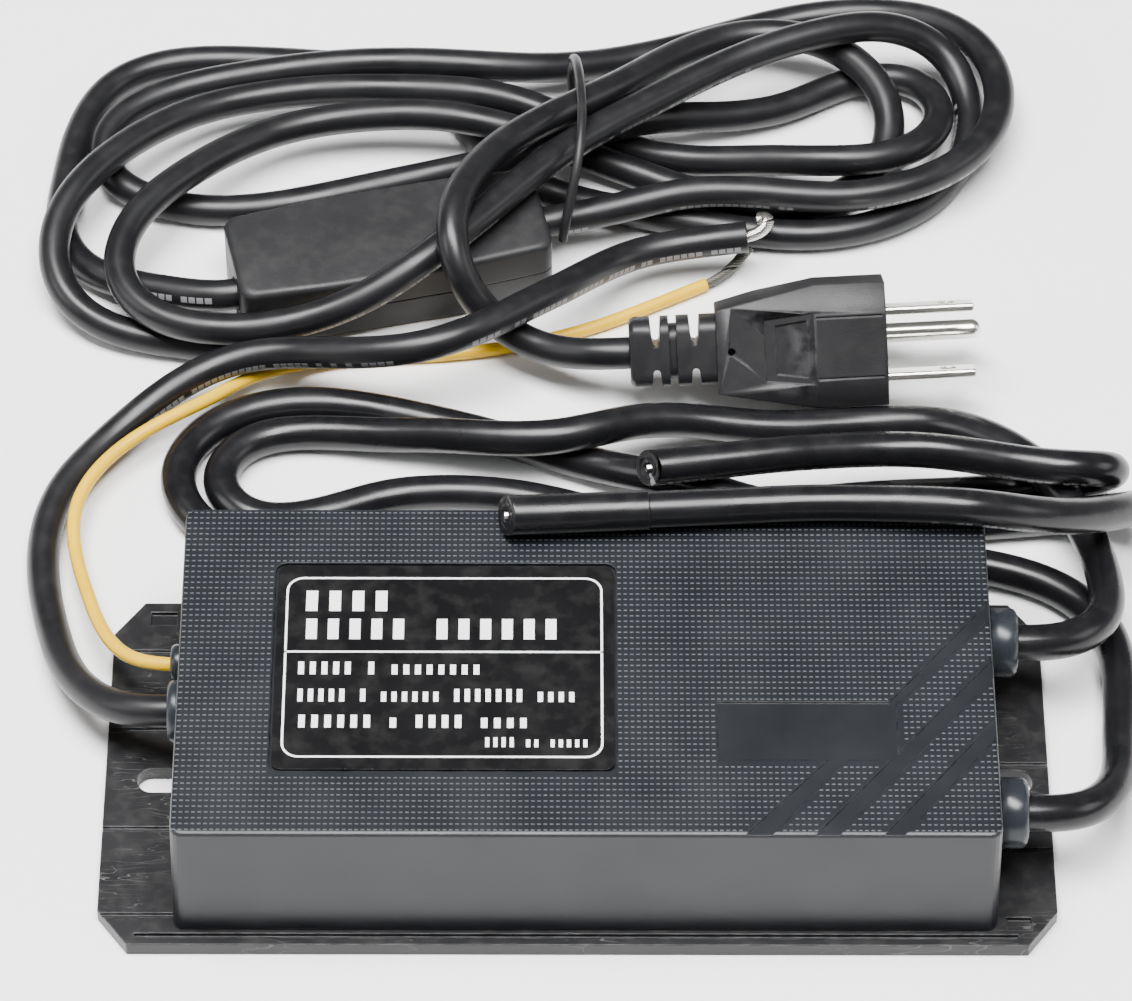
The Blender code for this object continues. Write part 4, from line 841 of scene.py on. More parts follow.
def carve(
    mesh: bpy.types.Mesh, cutters: Sequence[bpy.types.Mesh], frame: Matrix | None = None
) -> bpy.types.Mesh:
    """Cut closed meshes from another.

    Args:
        mesh: The closed mesh to cut.
        cutters: The closed meshes that are taken away.
        frame: Where the result then goes, or nothing to leave it.

    Returns:
        The result, shaded.
    """
    target = bpy.data.objects.new("carved", mesh)
    bpy.context.scene.collection.objects.link(target)
    helpers = []
    for i, cutter in enumerate(cutters):
        helper = bpy.data.objects.new(f"cutter_{i}", cutter)
        bpy.context.scene.collection.objects.link(helper)
        helpers.append(helper)
        change = target.modifiers.new(helper.name, "BOOLEAN")
        change.operation = "DIFFERENCE"
        change.solver = "EXACT"
        change.object = helper
    graph = bpy.context.evaluated_depsgraph_get()
    made = bpy.data.meshes.new_from_object(target.evaluated_get(graph), depsgraph=graph)
    for helper in (target, *helpers):
        bpy.data.objects.remove(helper)
    if frame is not None:
        made.transform(frame)
    made.shade_smooth()
    made.set_sharp_from_angle(angle=radians(MOULDED_CREASE))
    return made


class GeometryTree:
    """A Geometry Nodes tree with named inputs, run once on a base object."""

    def __init__(self, name: str, sizes: dict[str, str]) -> None:
        """Start the tree.

        Args:
            name: The tree's name.
            sizes: Its inputs besides the geometry, each with its socket type.
        """
        self.tree = bpy.data.node_groups.new(name, "GeometryNodeTree")
        sockets = {"Geometry": "NodeSocketGeometry", **sizes, "Material": "NodeSocketMaterial"}
        for label, kind in sockets.items():
            self.tree.interface.new_socket(label, in_out="INPUT", socket_type=kind)
        self.tree.interface.new_socket("Geometry", in_out="OUTPUT", socket_type="NodeSocketGeometry")
        self.bench = NodeBench(self.tree)
        self.given = self.bench.add("NodeGroupInput").outputs

    def close(self, geometry: bpy.types.NodeSocket) -> None:
        """End the tree with real geometry and its material."""
        real = self.bench.add("GeometryNodeRealizeInstances", {"Geometry": geometry})
        painted = self.bench.add(
            "GeometryNodeSetMaterial", {"Geometry": real.outputs[0], "Material": self.given["Material"]}
        )
        self.bench.add("NodeGroupOutput", {"Geometry": painted.outputs[0]})

    def run(self, base: bpy.types.Mesh, values: dict[str, Any]) -> bpy.types.Mesh:
        """Run the tree on a mesh.

        Args:
            base: The mesh that goes into the tree.
            values: The inputs' values, by name.

        Returns:
            The resulting mesh.
        """
        holder = bpy.data.objects.new(self.tree.name, base)
        bpy.context.scene.collection.objects.link(holder)
        modifier = holder.modifiers.new(self.tree.name, "NODES")
        modifier.node_group = self.tree
        for item in self.tree.interface.items_tree:
            if item.in_out == "INPUT" and item.name in values:
                modifier[item.identifier] = values[item.name]
        graph = bpy.context.evaluated_depsgraph_get()
        made = bpy.data.meshes.new_from_object(holder.evaluated_get(graph), depsgraph=graph)
        holder.modifiers.remove(modifier)
        bpy.data.objects.remove(holder)
        return made


class Bench:
    """The workshop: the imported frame, the effects and how a piece is set in place."""

    def __init__(self, frame: dict[str, Any]) -> None:
        """Keep the frame and an empty shelf of effects."""
        self.nodes: dict[str, bpy.types.Object] = frame["nodes"]
        self.record: dict[str, Any] = frame["record"]
        self.shelf = EffectShelf()
        self.dressed: set[str] = set()

    def paint(self, finish: Finish) -> bpy.types.Material:
        """Return a finish's material."""
        return finish.material(self.shelf)

    def carry_over(self, names: Sequence[str], finish: Finish) -> None:
        """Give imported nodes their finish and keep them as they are."""
        for name in names:
            node = self.nodes[name]
            if not node.material_slots:
                node.data.materials.append(None)
            for slot in node.material_slots:
                slot.material = self.paint(finish)
            self.dressed.add(name)
            LOG.info("kept %s in %s", name, finish.name)

    def place(
        self,
        name: str,
        mesh: bpy.types.Mesh,
        finishes: Sequence[Finish],
        slot: str,
        stands_for: Sequence[str] = (),
        body: str = SUPPLY,
    ) -> bpy.types.Object:
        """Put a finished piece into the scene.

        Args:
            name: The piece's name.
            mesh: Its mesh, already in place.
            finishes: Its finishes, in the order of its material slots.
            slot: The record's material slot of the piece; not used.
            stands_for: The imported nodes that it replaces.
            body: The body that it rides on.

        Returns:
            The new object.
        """
        piece = bpy.data.objects.new(name, mesh)
        mesh.name = name
        bpy.context.scene.collection.objects.link(piece)
        mesh.materials.clear()
        for finish in finishes:
            mesh.materials.append(self.paint(finish))
        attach(piece, body)
        if stands_for:
            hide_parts(*stands_for)
        LOG.info("made %s: %d faces", name, len(mesh.polygons))
        return piece


@dataclass
class Studio:
    """The pale floor, the soft lights and the camera.

    The floor's, the clip's and the lights' sizes and places are in metres, and power is in watts.
    """

    floor_half: float = 3.0
    camera_place: Place = (-5.73, -645.10, 848.78)
    camera_pitch: float = 50.0
    camera_yaw: float = 0.3
    camera_roll: float = 0.35
    lens: float = 184.45
    sensor: float = 36.0
    clip: Plan = (0.05, 20.0)
    floor_colour: Colour = (0.93, 0.93, 0.93)
    floor_roughness: float = 0.6
    floor_level: float = -0.0001
    sky_strength: float = 0.17
    light_aim: Place = (0.0, 0.06, 0.0)
    soft_boxes: tuple[tuple[str, Place, Plan, float], ...] = (
        ("overhead_box", (-0.1, -0.1, 1.6), (1.4, 0.6), 104.0),
        ("left_box", (-1.5, -0.2, 0.9), (0.8, 0.8), 10.0),
        ("right_box", (1.5, -0.1, 0.8), (0.8, 0.6), 6.0),
    )

    def build(self) -> None:
        """Build the whole studio."""
        self.build_floor()
        self.build_sky()
        for name, place, size, power in self.soft_boxes:
            self.build_light(name, place, size, power)
        self.build_camera()

    def build_floor(self) -> None:
        """Lay the floor just under the object."""
        mesh = bpy.data.meshes.new("floor")
        half = self.floor_half
        corners = ((-half, -half), (half, -half), (half, half), (-half, half))
        mesh.from_pydata([(x, y, self.floor_level) for x, y in corners], [], [(0, 1, 2, 3)])
        floor = bpy.data.objects.new("floor", mesh)
        bpy.context.scene.collection.objects.link(floor)
        paint = bpy.data.materials.new("pale_floor")
        paint.use_nodes = True
        shader = paint.node_tree.nodes["Principled BSDF"]
        shader.inputs["Base Color"].default_value = (*self.floor_colour, 1.0)
        shader.inputs["Roughness"].default_value = self.floor_roughness
        mesh.materials.append(paint)

    def build_sky(self) -> None:
        """Light the room evenly from all round."""
        world = bpy.data.worlds.new("soft_room")
        world.use_nodes = True
        background = world.node_tree.nodes["Background"]
        background.inputs["Color"].default_value = (1.0, 1.0, 1.0, 1.0)
        background.inputs["Strength"].default_value = self.sky_strength
        bpy.context.scene.world = world

    def build_light(self, name: str, place: Place, size: Plan, power: float) -> None:
        """Hang a soft box that looks at the object's middle."""
        data = bpy.data.lights.new(name, "AREA")
        data.shape = "RECTANGLE"
        data.size, data.size_y = size
        data.energy = power
        light = bpy.data.objects.new(name, data)
        bpy.context.scene.collection.objects.link(light)
        light.location = place
        aim = Vector(self.light_aim) - Vector(place)
        light.rotation_euler = aim.to_track_quat("-Z", "Y").to_euler()

    def build_camera(self) -> None:
        """Set up the camera."""
        data = bpy.data.cameras.new("camera")
        data.lens = self.lens
        data.sensor_width = self.sensor
        data.clip_start, data.clip_end = self.clip
        camera = bpy.data.objects.new("camera", data)
        bpy.context.scene.collection.objects.link(camera)
        pitch = radians(self.camera_pitch)
        yaw = radians(self.camera_yaw)
        roll = radians(self.camera_roll)
        forward = Vector((sin(yaw) * cos(pitch), cos(yaw) * cos(pitch), -sin(pitch)))
        right = Vector((cos(yaw), -sin(yaw), 0.0))
        up = right.cross(forward)
        across = right * cos(roll) + up * sin(roll)
        upright = up * cos(roll) - right * sin(roll)
        turn = Matrix((across, upright, -forward)).transposed()
        camera.matrix_world = Matrix.Translation(Vector(self.camera_place) * MM) @ turn.to_4x4()
        bpy.context.scene.camera = camera


@dataclass
class Enclosure:
    """The housing with its ribbed top, label, bushings and base plate."""

    bench: Bench
    rib_pitch: Plan = (1.105, 1.27)
    rib_length: float = 0.72
    rib_width: float = 0.34
    rib_height: float = 0.12
    rib_margin: float = 1.35
    rib_sink: float = 0.02
    rib_crown: float = 0.45
    label_margin: float = 0.9
    panel_margin: float = 0.5
    panel_low: Plan = (24.8, -19.0)
    panel_high: Plan = (56.9, -6.0)
    frame_low: Plan = (-52.9, -18.6)
    frame_high: Plan = (4.5, 22.7)
    frame_line: float = 0.42
    frame_corner: float = 3.2
    divider_y: float = 5.4
    ink_height: float = 0.03
    ink_share: float = 0.5
    low_letter: float = 0.78
    corner_steps: int = 8
    print_rows: tuple[tuple[Plan, Plan, tuple[int, ...]], ...] = (
        ((-50.3, -33.5), (14.8, 19.5), (4,)),
        ((-50.1, -2.9), (8.3, 13.0), (5, 6)),
        ((-50.8, -17.2), (0.2, 3.1), (5, 1, 8)),
        ((-50.7, -0.2), (-6.0, -3.1), (5, 1, 6, 7, 4)),
        ((-50.5, -8.6), (-11.9, -9.0), (6, 1, 4, 4)),
        ((-16.9, 2.0), (-16.2, -14.0), (4, 2, 5)),
    )
    stripes: tuple[tuple[Plan, ...], ...] = (
        ((55.6, -6.0), (57.6, -6.0), (74.5, 13.4), (74.5, 17.1)),
        ((41.7, -35.6), (45.9, -35.6), (74.5, -0.5), (74.5, 3.7)),
        ((53.8, -35.6), (57.3, -35.6), (74.5, -14.0), (74.5, -9.8)),
        ((29.4, -35.6), (34.0, -35.6), (47.9, -19.0), (44.3, -19.0)),
    )
    collar: tuple[Plan, ...] = (
        (4.0, 5.2), (4.4, 5.25), (5.0, 5.2), (5.7, 5.0), (6.15, 4.6), (6.4, 4.0), (6.4, 0.35),
        (6.15, 0.02), (4.7, 0.0), (4.7, -3.4), (4.0, -3.4),
    )
    collar_head: float = 5.2
    grommets: tuple[tuple[str, float, float], ...] = (
        ("input_grommet", 3.8, 4.5),
        ("ground_grommet", 2.0, 2.6),
    )
    grommet_head: float = 2.8
    grommet_lip: tuple[Plan, ...] = ((0.0, 0.0), (1.2, 0.0), (1.2, -1.0), (0.9, -1.55), (0.4, -1.8))
    turned_sides: int = 64

    def build(self) -> None:
        """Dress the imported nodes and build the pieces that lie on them."""
        self.bench.carry_over(["housing"], HOUSING_PLASTIC)
        self.bench.carry_over(["base_plate"], PLATE_PAINT)
        self.bench.carry_over(["rating_label"], LABEL_FILM)
        self.bench.carry_over([f"housing_screw_{i + 1}" for i in range(4)], SCREW_STEEL)
        self.build_ribs()
        self.build_print()
        self.build_ports()

    def is_ribbed(self, x: float, y: float) -> bool:
        """Return whether a rib stands at this place on the top."""
        label_low, label_high = (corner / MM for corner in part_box("rating_label"))
        gap = self.label_margin
        if label_low.x - gap < x < label_high.x + gap and label_low.y - gap < y < label_high.y + gap:
            return False
        gap = self.panel_margin
        across = self.panel_low[0] - gap < x < self.panel_high[0] + gap
        if across and self.panel_low[1] - gap < y < self.panel_high[1] + gap:
            return False
        return not any(self.within(outline, x, y) for outline in self.stripes)

    def within(self, outline: Sequence[Plan], x: float, y: float) -> bool:
        """Return whether a place lies inside a convex outline or within the margin of it."""
        for (ax, ay), (bx, by) in zip(outline, (*outline[1:], outline[0])):
            edge = Vector((bx - ax, by - ay))
            side = edge.x * (y - ay) - edge.y * (x - ax)
            if side < -self.panel_margin * edge.length:
                return False
        return True

    def build_ribs(self) -> None:
        """Cover the top with rows of small raised ribs, whose lighter colour is a painted highlight."""
        low, high = (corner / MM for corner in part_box("housing"))
        shrink = self.rib_margin
        x_low, x_high = low.x + shrink, high.x - shrink
        y_low, y_high = low.y + shrink, high.y - shrink
        columns = int((x_high - x_low) / self.rib_pitch[0])
        rows = int((y_high - y_low) / self.rib_pitch[1])
        spots = []
        for column in range(columns + 1):
            for row in range(rows + 1):
                x = x_low + column * (x_high - x_low) / columns
                y = y_low + row * (y_high - y_low) / rows
                if self.is_ribbed(x, y):
                    spots.append(Vector((x, y, high.z - self.rib_sink)) * MM)
        base = bpy.data.meshes.new("rib_spots")
        base.from_pydata(spots, [], [])
        tree = GeometryTree(
            "rib_field",
            {"Length": "NodeSocketFloat", "Width": "NodeSocketFloat", "Height": "NodeSocketFloat"},
        )
        bench = tree.bench
        cone = bench.add(
            "GeometryNodeMeshCone",
            {"Vertices": 4, "Radius Top": self.rib_crown, "Radius Bottom": 2**-0.5, "Depth": 1.0},
        )
        size = bench.add(
            "ShaderNodeCombineXYZ",
            {"X": tree.given["Length"], "Y": tree.given["Width"], "Z": tree.given["Height"]},
        )
        squared = bench.add(
            "GeometryNodeTransform", {"Geometry": cone.outputs["Mesh"], "Rotation": (0, 0, pi / 4)}
        )
        sized = bench.add(
            "GeometryNodeTransform", {"Geometry": squared.outputs[0], "Scale": size.outputs[0]}
        )
        field = bench.add(
            "GeometryNodeInstanceOnPoints", {"Points": tree.given["Geometry"], "Instance": sized.outputs[0]}
        )
        tree.close(field.outputs[0])
        # The ribs' material carries a painted highlight in its lighter colour
        values = {
            "Length": self.rib_length * MM,
            "Width": self.rib_width * MM,
            "Height": self.rib_height * MM,
            "Material": self.bench.paint(RIB_PLASTIC_PAINTED_HIGHLIGHT),
        }
        self.bench.place("housing_ribs", tree.run(base, values), [RIB_PLASTIC_PAINTED_HIGHLIGHT], "housing_plastic")

    def text_blocks(self) -> list[tuple[Vector, Vector]]:
        """Return the centre and size of each plain block that stands for printing."""
        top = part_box("rating_label")[1].z / MM + self.ink_height / 2
        blocks = []
        for (x_low, x_high), (y_low, y_high), words in self.print_rows:
            cells = sum(words) + len(words) - 1
            pitch = (x_high - x_low) / cells
            cell = 0
            for word in words:
                for letter in range(word):
                    is_tall = (cell * 5 + letter) % 3 == 0
                    height = (y_high - y_low) * (1.0 if is_tall else self.low_letter)
                    centre = Vector((x_low + (cell + 0.5) * pitch, y_low + height / 2, top))
                    size = Vector((pitch * self.ink_share, height, self.ink_height))
                    blocks.append((centre * MM, size * MM))
                    cell += 1
                cell += 1
        middle = (self.frame_low[0] + self.frame_high[0]) / 2
        width = self.frame_high[0] - self.frame_low[0]
        line = Vector((width, self.frame_line, self.ink_height)) * MM
        blocks.append((Vector((middle, self.divider_y, top)) * MM, line))
        return blocks

    def build_print(self) -> None:
        """Print the label's frame, divider and rows of plain blocks."""
        blocks = self.text_blocks()
        base = bpy.data.meshes.new("print_spots")
        base.from_pydata([centre for centre, _ in blocks], [], [])
        sizes = base.attributes.new("block_size", "FLOAT_VECTOR", "POINT")
        sizes.data.foreach_set("vector", [value for _, size in blocks for value in size])
        tree = GeometryTree("print_blocks", {})
        bench = tree.bench
        cube = bench.add("GeometryNodeMeshCube", {"Size": (1.0, 1.0, 1.0)})
        named = bench.add(
            "GeometryNodeInputNamedAttribute", {"Name": "block_size"}, data_type="FLOAT_VECTOR"
        )
        field = bench.add(
            "GeometryNodeInstanceOnPoints",
            {
                "Points": tree.given["Geometry"],
                "Instance": cube.outputs["Mesh"],
                "Scale": named.outputs["Attribute"],
            },
        )
        tree.close(field.outputs[0])
        mesh = tree.run(base, {"Material": self.bench.paint(LABEL_INK)})
        self.bench.place("label_print", mesh, [LABEL_INK], "label_film")
        self.build_print_frame()

    def build_print_frame(self) -> None:
        """Print the label's round-cornered frame line."""
        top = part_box("rating_label")[1].z / MM
        steps = self.corner_steps
        outer = round_rectangle(self.frame_low, self.frame_high, self.frame_corner, steps)
        line = self.frame_line
        inner_low = (self.frame_low[0] + line, self.frame_low[1] + line)
        inner_high = (self.frame_high[0] - line, self.frame_high[1] - line)
        inner = round_rectangle(inner_low, inner_high, self.frame_corner - line, steps)
        count = len(outer)
        corners = []
        for height in (top, top + self.ink_height):
            corners += [Vector((x, y, height)) * MM for x, y in outer]
            corners += [Vector((x, y, height)) * MM for x, y in inner]
        faces = []
        for i in range(count):
            j = (i + 1) % count
            low_outer, low_inner, high_outer, high_inner = 0, count, 2 * count, 3 * count
            faces.append((low_outer + i, low_outer + j, high_outer + j, high_outer + i))
            faces.append((low_inner + j, low_inner + i, high_inner + i, high_inner + j))
            faces.append((high_outer + i, high_outer + j, high_inner + j, high_inner + i))
            faces.append((low_outer + j, low_outer + i, low_inner + i, low_inner + j))
        mesh = bpy.data.meshes.new("label_frame")
        mesh.from_pydata(corners, [], faces)
        self.bench.place("label_frame", mesh, [LABEL_INK], "label_film")

    def build_ports(self) -> None:
        """Turn the bushings and grommets that the leads pass through."""
        for name in ("hv_bushing_rear", "hv_bushing_front"):
            self.build_turned(name, self.collar, self.collar_head)
        for name, bore, body in self.grommets:
            lip = [(body + wider, height) for wider, height in self.grommet_lip]
            head, foot = self.grommet_head, lip[-1][1]
            self.build_turned(name, [(bore, head), (body, head), *lip, (bore, foot)], head)

    def build_turned(self, name: str, profile: Sequence[Plan], head: float) -> None:
        """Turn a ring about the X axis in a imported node's place, its head at the node's far end."""
        low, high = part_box(name)
        seat = Vector((high.x - head * MM, (low.y + high.y) / 2, (low.z + high.z) / 2))
        frame = Matrix.Translation(seat) @ Matrix.Rotation(pi / 2, 4, "Y")
        skin = Skin(name + "_turned", self.turned_sides)
        skin.turn(profile[::-1], frame)
        mesh = skin.mesh(looped=True)
        self.bench.place(name + "_turned", mesh, [BUSHING_PLASTIC], "bushing_plastic", [name])


@dataclass
class InnerParts:
    """The parts inside the housing and the small hidden ones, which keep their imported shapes."""

    bench: Bench

    def build(self) -> None:
        """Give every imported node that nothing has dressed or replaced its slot's finish."""
        for part in self.bench.record["subparts"]:
            node = self.bench.nodes[part["node"]]
            if node.hide_render or part["node"] in self.bench.dressed:
                continue
            self.bench.carry_over([part["node"]], SLOT_FINISHES[part["material_slot"]])


@dataclass(frozen=True)
class Bundle:
    """A twisted bundle of bare strands; its radii are in millimetres.

    The reach is the radius on which the strands lie, and the fray is how much wider it ends.
    """

    count: int
    reach: float
    strand: float
    fray: float


@dataclass
class LeadShop:
    """How a lead is drawn: its tube, its cut end and its strands.

    Sizes are in millimetres, and the twist is in radians for each metre.
    """

    bench: Bench
    edge: float = 0.12
    groove_share: float = 0.62
    bore_depth: float = 2.0
    plain_share: float = 0.5
    strand_sides: int = 8
    twist: float = 900.0

    def cut_profile(self, radius: float, bore: float, floor: float) -> list[Plan]:
        """Return the profile of a cut face that shows the core.

        Args:
            radius: The jacket's radius.
            bore: The radius of the hole in the middle.
            floor: The width of the floor of the groove round the core, or zero for a sharp one.

        Returns:
            Radius and advance of each ring, in metres.
        """
        edge = self.edge
        ring = self.groove_share * radius
        groove = [(ring, -edge / 2)]
        if floor:
            groove.append((ring - floor, -edge / 2))
        profile = [
            (radius - edge, edge),
            (ring + edge, edge),
            *groove,
            (groove[-1][0] - edge, edge),
            (bore + edge, edge),
            (bore, 0.0),
            (bore, -self.bore_depth),
        ]
        return [(reach * MM, advance * MM) for reach, advance in profile]

    def draw(
        self,
        name: str,
        points: list[Vector],
        radius: float,
        finish: Finish,
        slot: str,
        stands_for: Sequence[str],
        sides: int = 28,
        bore: float = 0.0,
        lean: Place = (0.0, 0.0, 0.0),
    ) -> bpy.types.Object:
        """Draw a jacket along a line.

        Args:
            name: The piece's name.
            points: The line, in metres.
            radius: The jacket's radius, in millimetres.
            finish: The jacket's finish.
            slot: The record's material slot.
            stands_for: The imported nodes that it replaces.
            sides: How many sides the tube has.
            bore: The radius of the hole in the far end's cut face, or zero for a plain end.
            lean: The side to which the cut slopes back, and how steeply.

        Returns:
            The piece.
        """
        skin = Skin(name, sides)
        skin.follow(points, radius * MM)
        if bore:
            profile = self.cut_profile(radius, bore, self.edge)
        else:
            edge = self.edge * MM
            profile = [(radius * MM - edge, edge), (radius * MM * self.plain_share, edge)]
        skin.shape_end(profile, 1, Vector(lean))
        return self.bench.place(name, skin.mesh(), [finish, CUT_RUBBER], slot, stands_for)

    def strands(
        self,
        name: str,
        controls: Sequence[Place],
        bundle: Bundle,
        finish: Finish,
        stands_for: Sequence[str],
    ) -> bpy.types.Object:
        """Lay a twisted bundle of bare strands along a route.

        Args:
            name: The piece's name.
            controls: The route's points, in millimetres.
            bundle: The bundle's sizes.
            finish: The strands' finish.
            stands_for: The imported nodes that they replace.

        Returns:
            The piece.
        """
        points = smooth_route(controls, 8)
        base = bpy.data.meshes.new(name + "_line")
        base.from_pydata(points, [(i, i + 1) for i in range(len(points) - 1)], [])
        mesh = self.strand_tree().run(
            base,
            {
                "Strands": bundle.count,
                "Bundle Radius": bundle.reach * MM,
                "Strand Radius": bundle.strand * MM,
                "Twist": self.twist,
                "Fray": bundle.fray,
                "Material": self.bench.paint(finish),
            },
        )
        return self.bench.place(name, mesh, [finish], "tinned_wire", stands_for)

    def strand_tree(self) -> GeometryTree:
        """Return the tree that twists strands round a line."""
        tree = GeometryTree(
            "twisted_strands",
            {
                "Strands": "NodeSocketInt",
                "Bundle Radius": "NodeSocketFloat",
                "Strand Radius": "NodeSocketFloat",
                "Twist": "NodeSocketFloat",
                "Fray": "NodeSocketFloat",
            },
        )
        bench, given = tree.bench, tree.given
        line = bench.add("GeometryNodeMeshToCurve", {0: given["Geometry"]})
        copies = bench.add(
            "GeometryNodeDuplicateElements",
            {"Geometry": line.outputs[0], "Amount": given["Strands"]},
            domain="SPLINE",
        )
        travelled = bench.add("GeometryNodeSplineParameter")
        share = bench.maths("DIVIDE", copies.outputs["Duplicate Index"], given["Strands"])
        turned = bench.maths("MULTIPLY", travelled.outputs["Length"], given["Twist"])
        angle = bench.maths("ADD", bench.maths("MULTIPLY", share, 2 * pi), turned)
        normal = bench.add("GeometryNodeInputNormal").outputs[0]
        tangent = bench.add("GeometryNodeInputTangent").outputs[0]
        beside = bench.vector("CROSS_PRODUCT", tangent, normal).outputs[0]
        along_normal = bench.scaled(normal, bench.maths("COSINE", angle))
        along_side = bench.scaled(beside, bench.maths("SINE", angle))
        around = bench.vector("ADD", along_normal, along_side).outputs[0]
        squared = bench.maths("POWER", travelled.outputs["Factor"], 2.0)
        wider = bench.maths("ADD", bench.maths("MULTIPLY", squared, given["Fray"]), 1.0)
        outer = bench.maths("MINIMUM", copies.outputs["Duplicate Index"], 1.0)
        reach = bench.maths("MULTIPLY", bench.maths("MULTIPLY", wider, outer), given["Bundle Radius"])
        offset = bench.scaled(around, reach)
        laid = bench.add(
            "GeometryNodeSetPosition", {"Geometry": copies.outputs[0], "Offset": offset}
        )
        profile = bench.add(
            "GeometryNodeCurvePrimitiveCircle",
            {"Resolution": self.strand_sides, "Radius": given["Strand Radius"]},
        )
        skin = bench.add(
            "GeometryNodeCurveToMesh",
            {"Curve": laid.outputs[0], "Profile Curve": profile.outputs[0], "Fill Caps": True},
        )
        tree.close(skin.outputs[0])
        return tree


@dataclass
class OutputCables:
    """The two high-voltage cables, whose cut ends show their cores; the front one wears a sleeve."""

    shop: LeadShop
    radius: float = 3.4
    sleeve_radius: float = 3.7
    sleeve_length: float = 26.0
    sleeve_lip: tuple[Plan, ...] = ((0.93, 0.12), (0.985, 0.0))
    sides: int = 32
    bore: float = 1.0
    rear_lean: Place = (0.0, -0.38, 0.42)
    sleeve_lean: Place = (0.0, -0.22, 0.26)

    def build(self) -> None:
        """Draw both cables, the sleeve and their cores."""
        points = smooth_route(REAR_CABLE)
        rear = self.shop.draw(
            "rear_cable",
            points,
            self.radius,
            CABLE_JACKET,
            "cable_jacket",
            ["hv_cable_rear"],
            self.sides,
            self.bore,
            self.rear_lean,
        )
        self.declare(rear, points, "hv_bushing_rear", ["hv_core_rear"])
        whole = smooth_route(FRONT_CABLE)
        covered, end = split_route(whole, self.sleeve_length * MM)
        front = self.shop.draw(
            "front_cable",
            covered,
            self.radius,
            CABLE_JACKET,
            "cable_jacket",
            ["hv_cable_front"],
            self.sides,
        )
        sleeve = self.build_sleeve(end)
        self.declare(front, covered, "hv_bushing_front", ["hv_core_front", sleeve])

    def build_sleeve(self, points: list[Vector]) -> bpy.types.Object:
        """Draw the sleeve over the front cable's end, with a soft lip where it starts."""
        skin = Skin("front_sleeve", self.sides)
        skin.follow(points, self.sleeve_radius * MM)
        start = skin.rings[0]
        away = (points[0] - points[1]).normalized() * MM
        lip = []
        for share, back in self.sleeve_lip:
            centre = start.centre + away * back
            lip.append(Ring(centre, start.across, start.up, start.radius * share, start.along))
        skin.rings = [*lip, *skin.rings]
        profile = self.shop.cut_profile(self.sleeve_radius, self.bore, 0.0)
        skin.shape_end(profile, 1, Vector(self.sleeve_lean))
        return self.shop.bench.place(
            "front_sleeve", skin.mesh(), [SLEEVE_JACKET, CUT_RUBBER], "cable_jacket", ["hv_sleeve_front"]
        )

    def declare(
        self, cable: bpy.types.Object, points: list[Vector], port: str, others: list[Any]
    ) -> None:
        """Take the cable, its line, its port and its other pieces; nothing is done with them."""


@dataclass
class InputLeads:
    """The input lead and the ground wire, with their stripped ends."""

    shop: LeadShop
    cord_radius: float = 3.1
    ground_radius: float = 1.3
    ground_sides: int = 20
    wires: Bundle = Bundle(14, 0.95, 0.26, 0.25)
    ground_wires: Bundle = Bundle(9, 0.66, 0.24, 0.5)

    def build(self) -> None:
        """Draw both leads and their bare ends."""
        lead = smooth_route(INPUT_LEAD)
        cord = self.shop.draw(
            "input_lead", lead, self.cord_radius, CORD_JACKET, "cable_jacket", ["input_cord"]
        )
        hook = [tuple(Vector(INPUT_LEAD[-1]) + Vector(step)) for step in WIRE_HOOK]
        wires = self.shop.strands(
            "input_lead_wires", hook, self.wires, TINNED_WIRE, ["input_cord_conductor"]
        )
        self.declare(cord, lead, self.cord_radius, "input_grommet", [wires])
        line = smooth_route(GROUND_WIRE)
        ground = self.shop.draw(
            "ground_lead",
            line,
            self.ground_radius,
            GROUND_JACKET,
            "ground_jacket",
            ["ground_wire"],
            self.ground_sides,
        )
        strands = self.shop.strands(
            "ground_lead_strands",
            GROUND_STRANDS,
            self.ground_wires,
            OLD_STRANDS,
            ["ground_wire_strands"],
        )
        self.declare(ground, line, self.ground_radius, "ground_grommet", [strands])

    def declare(
        self, cord: bpy.types.Object, points: list[Vector], radius: float, port: str, others: list[Any]
    ) -> None:
        """Take the lead, its line, its radius, its port and its other pieces; nothing is done with them."""


